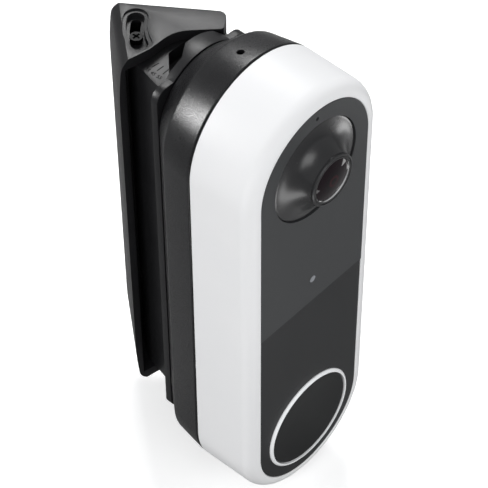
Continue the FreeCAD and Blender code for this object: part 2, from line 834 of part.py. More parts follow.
def latch_guides(body):
    """Guides beside the release latch, and the shelf under its spring."""
    shelf_foot = "spring_foot - rib_thickness"
    guides = face_sketch(body, "guide_front")
    rectangle(guides, "-guide_outer", "-guide_inner", shelf_foot, "latch_foot + guide_above_foot")
    rectangle(guides, "guide_inner", "guide_outer", shelf_foot, "latch_foot + guide_above_foot")
    pad_back(body, guides, "back_inside + root - guide_front")
    shelf = face_sketch(body, "guide_front")
    rectangle(shelf, "-guide_outer", "guide_outer", shelf_foot, "spring_foot")
    pad_back(body, shelf, "back_inside + root - guide_front")


def housing_openings(body):
    """Slots for the hooks and the catch, screw holes, the release hole and the speaker's outlet."""
    slot_half = "(hook_half_width + guide_gap)"
    slots = face_sketch(body, "back_inside - root")
    rectangle(slots, f"-{slot_half}", slot_half,
              "latch_foot - latch_travel - guide_gap", "hook_outer + guide_gap")
    rectangle(slots, f"-{slot_half}", slot_half,
              "-hook_outer - guide_gap", "-hook_outer + hook_thickness + guide_gap")
    pocket_back(body, slots, "back_wall + overrun")
    for radius, depth in (("case_screw_radius + hole_gap", "housing_front - overrun"),
                          ("case_head_radius + hole_gap", "case_head_seat")):
        for height in ("case_screw_high", "case_screw_low"):
            holes = face_sketch(body, depth)
            circle(holes, radius, "-case_screw_x", height)
            circle(holes, radius, "case_screw_x", height)
            pocket_back(body, holes, "door_depth")
    release = plan_sketch(body, "reach + release_hole_depth")
    circle(release, "release_hole_radius", "0", "release_hole_at")
    pocket_up(body, release, "outer")
    outlet = plan_sketch(body, "-reach - outer")
    for step in range(-2, 3):
        rectangle(outlet, f"{step} * outlet_pitch - outlet_half_width",
                  f"{step} * outlet_pitch + outlet_half_width",
                  "housing_front + outlet_front_margin", "band_end - outlet_back_margin")
    pocket_up(body, outlet, "outlet_depth")


def housing_seal():
    body = new_body("housing_seal")
    ring = face_sketch(body, "seam_at")
    stadium(ring, "outer - gasket_inset")
    stadium(ring, "outer - shell_wall + hole_gap")
    pad_back(body, ring, "gasket_thickness")
    return keep(body, "housing_seal", True)


# ---------------------------------------------------------------- front panel and camera

def front_panel():
    body = new_body("front_panel")
    plate = face_sketch(body)
    stadium(plate, "panel_radius")
    pad_back(body, plate, "panel_thickness")
    flange = face_sketch(body, "panel_thickness")
    stadium(flange, "flange_radius")
    pad_back(body, flange, "flange_thickness")
    lower_half = face_sketch(body)
    rectangle(lower_half, "-panel_radius - overrun", "panel_radius + overrun",
              "-door_height / 2", "panel_step_at")
    pocket_back(body, lower_half, "panel_step")
    holes = face_sketch(body)
    circle(holes, "hood_radius + hood_gap", "0", "reach")
    circle(holes, "light_ring_radius + press_fit", "0", "-reach")
    circle(holes, "microphone_hole_radius", "0", "microphone_at")
    circle(holes, "status_light_radius + press_fit", "0", "status_light_at")
    pocket_back(body, holes, "door_depth")
    return keep(body, "front_panel", True)


def lens_hood():
    back = "panel_back + hood_flange_thickness"
    under = "hood_edge_at + hood_wall"
    corners = [("hood_radius", "hood_edge_at"),
               ("nose_radius", "-nose_proud"),
               ("neck_radius", "-nose_proud"),
               ("neck_radius", back),
               ("neck_radius + hood_wall", back),
               ("neck_radius + hood_wall", under),
               ("hood_radius - hood_wall", under),
               ("hood_radius - hood_wall", back),
               ("hood_flange_radius", back),
               ("hood_flange_radius", "panel_back"),
               ("hood_radius", "panel_back")]
    return revolved_piece("lens_hood", corners, "reach", {0: ("hood_flare_radius", 1)})


def lens_ring():
    bore = "glass_radius + panel_gap"
    corners = [(bore, "nose_front"),
               ("nose_radius - ring_chamfer", "nose_front"),
               ("nose_radius", "nose_front + ring_chamfer"),
               ("nose_radius", "-nose_proud"),
               (bore, "-nose_proud")]
    return revolved_piece("lens_ring", corners, "reach")


def sag(curve, radius):
    """How far a sphere of this curve rises over a disc of this radius."""
    return f"({curve} - sqrt(({curve}) ^ 2 - ({radius}) ^ 2))"


def lens_glass():
    edge = "nose_front + glass_below_ring"
    corners = [("0", f"{edge} - {sag('glass_dome', 'glass_radius')}"),
               ("0", "barrel_front"),
               ("glass_radius", "barrel_front"),
               ("glass_radius", edge)]
    return revolved_piece("lens_glass", corners, "reach", {3: ("glass_dome", -1)})


def lens_barrel():
    foot_bore = "barrel_bore + barrel_foot_step"
    corners = [("barrel_bore", "barrel_front"),
               ("barrel_radius", "barrel_front"),
               ("barrel_radius", "barrel_foot_at"),
               ("barrel_foot_radius", "barrel_foot_at"),
               ("barrel_foot_radius", "camera_board_at"),
               (foot_bore, "camera_board_at"),
               (foot_bore, "barrel_foot_at"),
               ("barrel_bore", "barrel_foot_at")]
    return revolved_piece("lens_barrel", corners, "reach")


def lens_elements():
    """Three lenses on the barrel's axis, each with two curved faces."""
    rim = "(barrel_bore - screw_fit)"
    crown = f"lens_half_edge + {sag('lens_curve', rim)}"
    discs = []
    for middle in (f"barrel_front + front_lens_gap + {crown}",
                   "middle_lens_at",
                   "barrel_foot_at - rear_lens_inset"):
        disc = new_body("lens")
        corners = [("0", f"{middle} - ({crown})"), ("0", f"{middle} + {crown}"),
                   (rim, f"{middle} + lens_half_edge"), (rim, f"{middle} - lens_half_edge")]
        revolve(disc, corners, "reach", {1: ("lens_curve", -1), 3: ("lens_curve", -1)})
        discs.append(disc)
    return keep(group(*discs), "lens_elements", True)


def camera_electronics():
    back = "camera_board_at + camera_board_thickness"
    board = box("-camera_half_width", "camera_half_width", "camera_board_at", back,
                "reach - camera_half_height", "reach + camera_half_height")
    notches = [rod_back("case_boss_radius", x, "case_screw_high",
                        "camera_board_at - overrun", f"{back} + overrun")
               for x in ("-case_screw_x", "case_screw_x")]
    keep(cut(board, fuse(*notches)), "camera_board", True)
    sensor = box("-sensor_half_width", "sensor_half_width",
                 "camera_board_at - sensor_thickness", "camera_board_at",
                 "reach - sensor_half_height", "reach + sensor_half_height")
    keep(sensor, "image_sensor", True)


def microphone():
    tube = rod_back("microphone_hole_radius + microphone_seal_wall", "0", "microphone_at",
                    "panel_back", "frame_back")
    bore = rod_back("microphone_hole_radius", "0", "microphone_at",
                    "panel_back - overrun", "frame_back + overrun")
    keep(cut(tube, bore), "microphone_seal", True)
    capsule = box("-microphone_half_width", "microphone_half_width",
                  "frame_back", "frame_back + microphone_thickness",
                  "microphone_at - microphone_half_height", "microphone_at + microphone_half_height")
    keep(capsule, "microphone", True)


def status_light():
    lamp_front = "board_at - lamp_thickness"
    pipe = rod_back("status_light_radius", "0", "status_light_at", "0", lamp_front)
    collar = rod_back("status_light_radius + status_collar_width", "0", "status_light_at",
                      "panel_back", "frame_at")
    keep(fuse(pipe, collar), "status_light_pipe", True)
    lamp = box("-lamp_half_width", "lamp_half_width", lamp_front, "board_at",
               "status_light_at - lamp_half_width", "status_light_at + lamp_half_width")
    keep(lamp, "status_lamp", True)


# ---------------------------------------------------------------- call button

def light_ring():
    corners = [("light_ring_bore", "-light_ring_proud"),
               ("light_ring_bore + light_ring_flat", "-light_ring_proud"),
               ("light_ring_radius", "0"),
               ("light_ring_radius", "panel_back"),
               ("light_ring_bore", "panel_back")]
    return revolved_piece("light_ring", corners, "-reach")


def button_cap():
    edge = "light_ring_bore - button_gap"
    front = "-light_ring_proud + button_below_ring"
    corners = [("0", f"{front} + {sag('button_dish_radius', edge)}"),
               ("0", "plunger_end"),
               ("plunger_radius", "plunger_end"),
               ("plunger_radius", f"{front} + button_thickness"),
               (edge, f"{front} + button_thickness"),
               (edge, front)]
    return revolved_piece("button_cap", corners, "-reach", {5: ("button_dish_radius", 1)})


def button_seal():
    bore = "plunger_radius + button_gap"
    rim = "light_ring_radius + button_seal_margin"
    back = "panel_back + button_seal_thickness"
    corners = [(bore, "panel_back"), (rim, "panel_back"), (rim, back), (bore, back)]
    return revolved_piece("button_seal", corners, "-reach")


def button_switch():
    base = box("-switch_half_width", "switch_half_width", "switch_front", "board_at",
               "-reach - switch_half_width", "-reach + switch_half_width")
    stem = rod_back("switch_stem_radius", "0", "-reach", "switch_stem_front", "switch_front")
    return keep(fuse(base, stem), "button_switch", True)


# ---------------------------------------------------------------- frame and electronics

def inner_frame():
    body = new_body("inner_frame")
    plate = face_sketch(body, "frame_at")
    stadium(plate, "flange_radius")
    pad_back(body, plate, "frame_thickness")
    rim = face_sketch(body, "panel_back")
    stadium(rim, "flange_radius")
    stadium(rim, "flange_radius - frame_rim")
    pad_back(body, rim, "frame_gap")
    board_posts = face_sketch(body, "frame_back")
    for x in ("-board_screw_x", "board_screw_x"):
        for height in ("board_screw_high", "board_screw_low"):
            circle(board_posts, "post_radius", x, height)
    pad_back(body, board_posts, "board_standoff")
    camera_posts = face_sketch(body, "frame_back")
    for x in ("-camera_post_at", "camera_post_at"):
        circle(camera_posts, "camera_post_radius", x, "reach - camera_post_at")
        circle(camera_posts, "camera_post_radius", x, "reach + camera_post_at")
    pad_back(body, camera_posts, "camera_board_at - frame_back")
    columns = face_sketch(body, "frame_back")
    for x in ("-case_screw_x", "case_screw_x"):
        for height in ("case_screw_high", "case_screw_low"):
            circle(columns, "case_boss_radius - column_step", x, height)
    pad_back(body, columns, "housing_front - frame_back")

    holes = face_sketch(body, "frame_at")
    circle(holes, "barrel_foot_radius + guide_gap", "0", "reach")
    circle(holes, "sqrt(2) * switch_half_width + switch_window_gap", "0", "-reach")
    circle(holes, "microphone_hole_radius + microphone_seal_wall + guide_gap", "0", "microphone_at")
    circle(holes, "status_light_radius + guide_gap", "0", "status_light_at")
    pocket_back(body, holes, "frame_thickness")
    pilots = face_sketch(body, "frame_at + pilot_floor")
    for side in ("-", ""):
        for height in ("board_screw_high", "board_screw_low"):
            circle(pilots, "board_screw_radius + screw_fit", f"{side}board_screw_x", height)
        for height in ("case_screw_high", "case_screw_low"):
            circle(pilots, "case_screw_radius + screw_fit", f"{side}case_screw_x", height)
    pocket_back(body, pilots, "door_depth")
    return keep(body, "inner_frame", True)


def main_board():
    body = new_body("main_board")
    plate = face_sketch(body, "board_at")
    stadium(plate, "board_radius", "-reach", "board_top - board_radius")
    pad_back(body, plate, "board_thickness")
    holes = face_sketch(body, "board_at")
    for side in ("-", ""):
        circle(holes, "case_boss_radius", f"{side}case_screw_x", "case_screw_low")
        for height in ("board_screw_high", "board_screw_low"):
            circle(holes, "board_screw_radius + hole_gap", f"{side}board_screw_x", height)
    pocket_back(body, holes, "board_thickness")
    return keep(body, "main_board", True)


def board_chips():
    chips = [box(f"{x - half_width}", f"{x + half_width}", "board_back", f"board_back + {thickness}",
                 f"{z - half_height}", f"{z + half_height}")
             for half_width, half_height, thickness, x, z in CHIPS]
    return keep(group(*chips), "board_chips", True)


def shield_can():
    spans = []
    for margin in ("0", "shield_wall"):
        spans.append((f"shield_x - shield_half_width + {margin}", f"shield_x + shield_half_width - {margin}",
                      f"shield_z - shield_half_height + {margin}",
                      f"shield_z + shield_half_height - {margin}"))
    outside = box(*spans[0][:2], "board_back", "board_back + shield_height", *spans[0][2:])
    inside = box(*spans[1][:2],
                 "board_back - overrun", "board_back + shield_height - shield_wall",
                 *spans[1][2:])
    return keep(cut(outside, inside), "shield_can", True)


def antenna():
    top = "board_top - antenna_inset"
    strip = box("-antenna_half_width", "antenna_half_width", "board_back", "board_back + antenna_thickness",
                f"{top} - antenna_height", top)
    return keep(strip, "antenna", True)


def battery():
    body = new_body("battery_pack")
    side = face_sketch(body, "battery_front")
    rectangle(side, "-battery_half_width", "battery_half_width", "battery_low", "battery_high")
    block = pad_back(body, side, "battery_back - battery_front")
    upright = [f"Edge{index}" for index, edge in enumerate(block.Shape.Edges, start=1)
               if edge.BoundBox.ZLength > number("battery_height") - 0.1]
    round_edges(body, block, upright, "battery_rounding")
    keep(body, "battery_pack", True)
    contacts = [rod_back("contact_radius", f"{step} * contact_pitch", "contact_at",
                         "board_back", "battery_front")
                for step in (-1, 0, 1)]
    keep(group(*contacts), "battery_contacts", True)


def speaker():
    magnet_back = "speaker_front + magnet_depth"
    basket = rod_back("speaker_radius", "0", "speaker_centre", magnet_back, "speaker_seal_front")
    magnet = rod_back("magnet_radius", "0", "speaker_centre", "speaker_front", magnet_back)
    keep(fuse(basket, magnet), "speaker", True)
    outside = rod_back("speaker_radius", "0", "speaker_centre", "speaker_seal_front", "back_inside")
    inside = rod_back("speaker_radius - speaker_seal_width", "0", "speaker_centre",
                      "speaker_seal_front - overrun", "back_inside + overrun")
    keep(cut(outside, inside), "speaker_seal", True)


def screw_groups():
    case = []
    board = []
    for side in ("-", ""):
        for height in ("case_screw_high", "case_screw_low"):
            case.append(head_screw("case_screw_radius", "case_head_radius", f"{side}case_screw_x", height,
                                   "housing_front - case_screw_bite", "case_head_seat",
                                   "case_head_seat + case_head_height"))
        for height in ("board_screw_high", "board_screw_low"):
            board.append(head_screw("board_screw_radius", "board_head_radius", f"{side}board_screw_x", height,
                                    "frame_at + pilot_floor + hole_gap", "board_back",
                                    "board_back + board_head_height"))
    keep(group(*case), "case_screws", True)
    keep(group(*board), "board_screws", True)


# ---------------------------------------------------------------- release latch

def release_latch():
    half = "latch_width / 2"
    stem_front = "release_hole_at - latch_thickness / 2"
    stem_back = "release_hole_at + latch_thickness / 2"
    catch_back = "back_inside + latch_catch_depth"
    foot_top = "latch_foot + latch_foot_height"
    stem = box(f"-{half}", half, stem_front, stem_back, "latch_foot", "latch_top")
    foot = box(f"-{half}", half, stem_front, catch_back, "latch_foot", foot_top)
    catch = box(f"-{half}", half, "back_inside", catch_back, "latch_foot", f"{foot_top} + latch_catch_height")
    return keep(fuse(stem, foot, catch), "release_latch", True)


def latch_spring():
    body = new_body("latch_spring")
    wire = face_sketch(body, "release_hole_at + spring_behind")
    circle(wire, "spring_wire_radius", "spring_radius", "spring_foot + spring_wire_radius + spring_end_gap")
    coil = body.newObject("PartDesign::AdditiveHelix", "coil")
    coil.Profile = wire
    coil.ReferenceAxis = (wire, ["V_Axis"])
    coil.Mode = "pitch-height-angle"
    bind(coil, "Height", "spring_rise")
    bind(coil, "Pitch", "spring_rise / spring_turns")
    doc.recompute()
    return keep(body, "latch_spring", True)


# ---------------------------------------------------------------- mounting plate and arm

def mounting_plate():
    body = new_body("mounting_plate")
    plate = face_sketch(body, "plate_front")
    rectangle(plate, "-plate_half_width", "plate_half_width", "-plate_half_height", "plate_half_height")
    slab = pad_back(body, plate, "plate_thickness")
    corners = [f"Edge{index}" for index, edge in enumerate(slab.Shape.Edges, start=1)
               if edge.BoundBox.YLength > number("plate_thickness") - 0.01
               and edge.BoundBox.DiagonalLength < number("plate_thickness") + 0.01]
    round_edges(body, slab, corners, "plate_corner_radius")
    domes = face_sketch(body, "plate_front")
    stadium(domes, "plate_half_width")
    pad_back(body, domes, "plate_thickness")

    # a cap above and below the arm, thinner to the left and cut slanting where the bracket passes
    low = "arm_half_height + plate_gap"
    chord = f"sqrt(plate_half_width ^ 2 - ({low} - reach) ^ 2)"
    cap = face_sketch(body, "plate_back")
    outline(cap, [(f"-{chord}", low), (chord, low)], {1: ("plate_half_width", 1)})
    dome = pad_back(body, cap, "cap_depth")
    mirror_up_down(body, [dome])
    far = "plate_half_width + cap_depth"
    behind = "cap_depth + overrun"
    left_rear = "plate_back + cap_left_depth"
    for corners in ([("cap_right - cap_right_depth", "plate_back + cap_right_depth"),
                     (far, "plate_back + cap_right_depth"),
                     (far, f"plate_back + {behind}"),
                     (f"cap_right - ({behind})", f"plate_back + {behind}")],
                    [(f"-({far})", left_rear),
                     ("cap_left_end", left_rear),
                     ("cap_rear_left", "plate_back + cap_depth"),
                     ("cap_rear_left", f"plate_back + {behind}"),
                     (f"-({far})", f"plate_back + {behind}")]):
        side = plan_sketch(body, "-reach - plate_half_width - overrun")
        outline(side, corners)
        pocket_up(body, side, "2 * (reach + plate_half_width + overrun)")

    # hooks that reach into the doorbell's back
    reach_front = "plate_front - hook_reach"
    hook_inner = "hook_outer - hook_thickness"
    lug = face_sketch(body, reach_front)
    rectangle(lug, "-hook_half_width", "hook_half_width", hook_inner, "hook_outer")
    lug_pad = pad_back(body, lug, "hook_reach")
    lip = face_sketch(body, reach_front)
    rectangle(lip, "-hook_half_width", "hook_half_width", f"{hook_inner} - hook_lip", "hook_outer")
    lip_pad = pad_back(body, lip, "hook_lip_depth")
    mirror_up_down(body, [lug_pad, lip_pad])

    for radius, length in (("case_screw_radius + hole_gap", "plate_thickness"),
                           ("case_head_radius + hole_gap", "plate_screw_seat - plate_front")):
        holes = face_sketch(body, "plate_front")
        for x in ("plate_screw_left", "plate_screw_right"):
            circle(holes, radius, x, "-plate_screw_height")
            circle(holes, radius, x, "plate_screw_height")
        pocket_back(body, holes, length)
    return keep(body, "mounting_plate", True)


def plate_screws():
    screws = [head_screw("case_screw_radius", "case_head_radius", x, f"{side}plate_screw_height",
                         "plate_screw_seat + plate_screw_length", "plate_screw_seat",
                         "plate_front + hole_gap")
              for x in ("plate_screw_left", "plate_screw_right") for side in ("-", "")]
    return keep(group(*screws), "plate_screws", True)


def swivel_arm():
    body = new_body("swivel_arm")
    low_turn = "(rest_swivel - swivel_travel) * 1 deg"
    chord = "sqrt(arm_sweep_radius ^ 2 - arm_behind_pivot ^ 2)"
    # where the rear face, which lies flat to the wall at the smallest angle, meets the swept corner
    corner_x = f"pivot_across - {chord} * cos({low_turn}) + arm_behind_pivot * sin({low_turn})"
    corner_y = f"pivot_behind + {chord} * sin({low_turn}) + arm_behind_pivot * cos({low_turn})"
    heel_x = f"pivot_across + arm_behind_pivot * sin({low_turn})"
    heel_y = f"pivot_behind + arm_behind_pivot * cos({low_turn})"
    shoulder_y = "plate_back + arm_left_depth"
    plan = plan_sketch(body, "-arm_half_height")
    outline(plan, [("arm_left_front", "plate_back"),
                   ("arm_right", "plate_back"),
                   ("arm_right", "pivot_behind"),
                   (heel_x, heel_y),
                   (corner_x, corner_y),
                   ("arm_left_rear", shoulder_y)],
            {4: ("arm_sweep_radius", 1)})
    pad_up(body, plan, "arm_half_height * 2")
    boss = plan_sketch(body, "-arm_half_height")
    circle(boss, "pivot_boss_radius", "pivot_across", "pivot_behind")
    pad_up(body, boss, "arm_half_height * 2")

    # windows cored from the rear, with ribs between them
    inner_front = "plate_back + arm_front_wall"
    inner_right = "pivot_across - pivot_boss_radius - arm_boss_wall"
    rear = f"{corner_y} + arm_boss_wall"
    window = plan_sketch(body, "-arm_window_height / 2 - 2 * arm_window_pitch")
    outline(window, [("arm_left_front + arm_wall", inner_front),
                     (inner_right, inner_front),
                     (inner_right, rear),
                     (f"{corner_x} + arm_heel_wall", rear),
                     ("arm_left_rear + arm_wall", f"{shoulder_y} + overrun")])
    pocket = pocket_up(body, window, "arm_window_height")
    windows = body.newObject("PartDesign::LinearPattern", "windows")
    windows.Originals = [pocket]
    windows.Direction = (window, ["N_Axis"])
    windows.Occurrences = 5
    bind(windows, "Length", "arm_window_pitch * 4")
    body.Tip = windows
    doc.recompute()

    bores = plan_sketch(body, "arm_half_height - pivot_depth")
    circle(bores, "pivot_radius + screw_fit", "pivot_across", "pivot_behind")
    pin_bore = pocket_up(body, bores, "pivot_depth")
    thread = plan_sketch(body, "arm_half_height - lock_screw_length")
    circle(thread, "lock_screw_radius + lock_screw_clearance", "lock_x", "lock_y")
    lock_bore = pocket_up(body, thread, "lock_screw_length")
    mirror_up_down(body, [pin_bore, lock_bore])

    # a pocket in each end face, beside the plate's cap
    pocket = plan_sketch(body, "arm_half_height - arm_pocket_depth")
    outline(pocket, [("arm_pocket_left", "plate_back + arm_pocket_wall"),
                     ("arm_pocket_right", "plate_back + arm_pocket_wall"),
                     ("arm_pocket_right", "plate_back + arm_pocket_full_depth"),
                     ("arm_pocket_corner", "plate_back + arm_pocket_full_depth"),
                     ("arm_pocket_left", "plate_back + arm_pocket_left_depth")])
    mirror_up_down(body, [pocket_up(body, pocket, "arm_pocket_depth")])

    holes = face_sketch(body, "plate_back")
    for x in ("plate_screw_left", "plate_screw_right"):
        circle(holes, "case_screw_radius + screw_fit", x, "-plate_screw_height")
        circle(holes, "case_screw_radius + screw_fit", x, "plate_screw_height")
    pocket_back(body, holes, "plate_screw_length")
    return keep(body, "swivel_arm", True)


def pivot_pins():
    top = "bracket_inside + pivot_reach"
    foot = "arm_half_height - pivot_depth + pivot_end_gap"
    upper = rod_up("pivot_radius", "pivot_across", "pivot_behind", foot, top)
    keep(upper, "pivot_pin_upper", True)
    lower = rod_up("pivot_radius", "pivot_across", "pivot_behind", f"-({top})", f"-({foot})")
    keep(lower, "pivot_pin_lower", True)


def lock_screw(name, up):
    """A screw through the bracket's slot into the arm; up is +1 or -1."""
    seat = "slot_shelf + lock_head_lift"
    top = f"{seat} + lock_head_height"
    tip = "arm_half_height - lock_screw_length + lock_screw_end_gap"
    spans = []
    for low, high in ((tip, seat), (seat, top), (f"{top} - lock_recess_depth", top)):
        spans.append((low, high) if up > 0 else (f"-({high})", f"-({low})"))
    shank = rod_up("lock_screw_radius", "lock_x", "lock_y", *spans[0])
    head = rod_up("lock_head_radius", "lock_x", "lock_y", *spans[1])
    arms = []
    for wide, deep in (("lock_recess_reach", "lock_recess_half_width"),
                       ("lock_recess_half_width", "lock_recess_reach")):
        arms.append(box(f"lock_x - {wide}", f"lock_x + {wide}",
                        f"lock_y - {deep}", f"lock_y + {deep}", *spans[2]))
    return keep(cut(fuse(shank, head), fuse(*arms)), name, True)


# ---------------------------------------------------------------- wall bracket

def wall_bracket():
    body = new_body("wall_bracket")
    plan = plan_sketch(body, "-half_bracket")
    outline(plan, [("bracket_left", "0"),
                   ("bracket_front_left", "bracket_front"),
                   ("bracket_shoulder_x", "bracket_shoulder_y"),
                   ("bracket_waist_x", "bracket_waist_y"),
                   ("bracket_right", "bracket_right_front"),
                   ("bracket_right", "0")])
    block = pad_up(body, plan, "2 * half_bracket")
    for x, y, radius in (("bracket_waist_x", "bracket_waist_y", "bracket_waist_rounding"),
                         ("bracket_right", "bracket_right_front", "bracket_end_front_rounding"),
                         ("bracket_right", "0", "bracket_end_rear_rounding")):
        corner = Vector(number(x), number(y), 0)
        upright = [f"Edge{index}" for index, edge in enumerate(block.Shape.Edges, start=1)
                   if edge.BoundBox.ZLength > number("half_bracket")
                   and abs(edge.BoundBox.XMin - corner.x) < 0.01
                   and abs(edge.BoundBox.YMin - corner.y) < 0.01]
        block = round_edges(body, block, upright, radius)

    # the cavity that the arm swings in, open to the front and the right
    inside_left = "bracket_left + bracket_side_wall * bracket_lean"
    depth = "-bracket_front + bracket_lip"
    beyond = "bracket_right + bracket_lip"
    cavity = plan_sketch(body, "-bracket_inside")
    outline(cavity, [(f"{inside_left} + bracket_slope * bracket_back_wall", "-bracket_back_wall"),
                     (f"{inside_left} + bracket_slope * ({depth})", f"-({depth})"),
                     (beyond, f"-({depth})"), (beyond, "-bracket_back_wall")])
    pocket_up(body, cavity, "2 * bracket_inside")
    soften_corners(body)

    # stepped slot for the lock screw, and the pivot's blind bore
    cuts = []
    for half_width, margin, depth in (("slot_recess_half_width", "slot_front_margin", "slot_recess_depth"),
                                      ("slot_step_half_width", "slot_front_margin", "slot_step_depth"),
                                      ("slot_half_width", "0", "half_bracket / 2")):
        slot = plan_sketch(body, f"half_bracket - {depth}")
        swivel_slot(slot, half_width, margin)
        cuts.append(pocket_up(body, slot, f"{depth} + overrun"))
    bore = plan_sketch(body, "bracket_inside - overrun")
    circle(bore, "pivot_radius + pivot_clearance", "pivot_x", "pivot_y")
    cuts.append(pocket_up(body, bore, "overrun + pivot_reach + pivot_end_gap"))
    mirror_up_down(body, cuts)

    # the two wall screws' holes
    holes = face_sketch(body, "-bracket_back_wall - overrun")
    circle(holes, "wall_hole_radius", "wall_hole_x", "-wall_hole_spacing / 2")
    circle(holes, "wall_hole_radius", "wall_hole_x", "wall_hole_spacing / 2")
    pocket_back(body, holes, "bracket_back_wall + 2 * overrun")
    return keep(body, "wall_bracket", False)


def soften_corners(body):
    """Round the side wall's upper and lower corners with a cut swept along its slant."""
    edge = "bracket_left - bracket_slope * overrun"
    outside = "bracket_left - 2 * overrun"
    knee_inset = "bracket_corner_inset / 4"
    knee_drop = "bracket_corner_inset * 1.2"
    upper_run = f"(bracket_corner_height - {knee_drop})"
    corner = face_sketch(body, "overrun")
    outline(corner, [(outside, "half_bracket - bracket_corner_height"),
                     (edge, "half_bracket - bracket_corner_height"),
                     (f"{edge} + {knee_inset}", f"half_bracket - {knee_drop}"),
                     (f"{edge} + bracket_corner_inset", "half_bracket"),
                     (f"{edge} + bracket_corner_inset", "half_bracket + overrun"),
                     (outside, "half_bracket + overrun")],
            {1: (f"1.3 * ({upper_run} ^ 2 + ({knee_inset}) ^ 2) / (2 * {knee_inset})", -1),
             2: ("bracket_corner_inset * 1.9", -1)})
    before = volume_of(body.Tip)
    sweep = body.newObject("PartDesign::Pocket", "corner_sweep")
    sweep.Profile = corner
    sweep.UseCustomVector = True
    sweep.Direction = Vector(number("bracket_slope"), -1, 0)
    sweep.AlongSketchNormal = False
    bind(sweep, "Length", "(-bracket_front + 2 * overrun) * bracket_lean")
    sweep.Reversed = False
    doc.recompute()
    if volume_of(sweep) >= before - 1:
        raise RuntimeError("the bracket's soft corner cut nothing")
    mirror_up_down(body, [sweep])


# ---------------------------------------------------------------- build and write

for make in (wall_bracket, swivel_arm, pivot_pins, mounting_plate, plate_screws,
             rear_housing, front_shell, housing_seal, front_panel,
             lens_hood, lens_ring, lens_glass, lens_barrel, lens_elements, camera_electronics,
             microphone, status_light, light_ring, button_cap, button_seal, button_switch,
             inner_frame, main_board, board_chips, shield_can, antenna, battery, speaker,
             screw_groups, release_latch, latch_spring):
    make()
lock_screw("lock_screw_upper", 1)
lock_screw("lock_screw_lower", -1)
doc.recompute()

for item in doc.Objects:
    if "Invalid" in item.State or "Error" in item.State:
        raise RuntimeError(f"{item.Name} ({item.Label}) failed: {item.State}")
for piece in sub_parts:
    if piece.Shape.isNull() or not piece.Shape.isValid() or not piece.Shape.Solids:
        raise RuntimeError(f"{piece.Label} has no valid solid")

os.makedirs("parts", exist_ok=True)
for piece in sub_parts:
    piece.Shape.exportStep(f"parts/{piece.Label}.step")
    print(f"{piece.Label}: {len(piece.Shape.Solids)} solid(s), {piece.Shape.Volume:.1f} mm3")
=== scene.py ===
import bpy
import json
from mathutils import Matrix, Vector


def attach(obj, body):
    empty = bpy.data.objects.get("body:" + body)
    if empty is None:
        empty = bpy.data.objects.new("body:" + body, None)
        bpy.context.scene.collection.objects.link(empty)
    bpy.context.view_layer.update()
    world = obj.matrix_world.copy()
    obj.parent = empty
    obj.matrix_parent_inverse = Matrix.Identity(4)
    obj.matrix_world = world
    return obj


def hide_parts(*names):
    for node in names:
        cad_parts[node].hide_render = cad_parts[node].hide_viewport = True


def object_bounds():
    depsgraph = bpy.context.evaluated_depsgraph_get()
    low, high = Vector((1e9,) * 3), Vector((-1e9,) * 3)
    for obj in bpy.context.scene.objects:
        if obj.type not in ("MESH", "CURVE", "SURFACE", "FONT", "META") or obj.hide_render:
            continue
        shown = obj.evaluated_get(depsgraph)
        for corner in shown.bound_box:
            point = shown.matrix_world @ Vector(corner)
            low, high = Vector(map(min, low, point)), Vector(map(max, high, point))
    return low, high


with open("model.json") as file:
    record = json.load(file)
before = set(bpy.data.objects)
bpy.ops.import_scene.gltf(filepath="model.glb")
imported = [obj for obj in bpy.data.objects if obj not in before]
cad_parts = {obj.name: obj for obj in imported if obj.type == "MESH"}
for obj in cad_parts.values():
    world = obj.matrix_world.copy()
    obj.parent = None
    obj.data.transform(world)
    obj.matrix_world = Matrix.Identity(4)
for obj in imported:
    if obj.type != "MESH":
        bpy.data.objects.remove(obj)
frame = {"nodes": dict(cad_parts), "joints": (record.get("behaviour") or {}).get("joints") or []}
cad_box = [list(corner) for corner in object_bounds()]

import json
import math

import bmesh
import bpy
from mathutils import Matrix, Vector

# Looks of a video doorbell on a swivelling wall bracket. Everything on the swivel head is
# drawn in the head's own axes: X to the right seen from the front, Y backwards, Z up, from
# the middle of the front panel.

MM = 0.001
UP = Vector((0, 0, 1))


def joint(name):
    return next(item for item in frame["joints"] if item["name"] == name)


def placed_head():
    """The head's axes and origin, read from the button's line of travel and the panel."""
    back = Vector(joint("call_button_press")["axis"]).normalized()
    right = back.cross(UP)
    axes = Matrix((right, back, UP))
    corners = [axes @ vertex.co for vertex in frame["nodes"]["front_panel"].data.vertices]
    xs = [corner.x for corner in corners]
    front = min(corner.y for corner in corners)
    origin = axes.inverted() @ Vector(((min(xs) + max(xs)) / 2, front, 0))
    return Matrix.Translation(origin) @ axes.inverted().to_4x4()


HEAD = placed_head()


def span(node):
    """Lowest and highest corner of a CAD node along the head's own axes."""
    inverse = HEAD.inverted()
    corners = [inverse @ vertex.co for vertex in frame["nodes"][node].data.vertices]
    low = Vector([min(corner[axis] for corner in corners) for axis in range(3)])
    high = Vector([max(corner[axis] for corner in corners) for axis in range(3)])
    return low, high


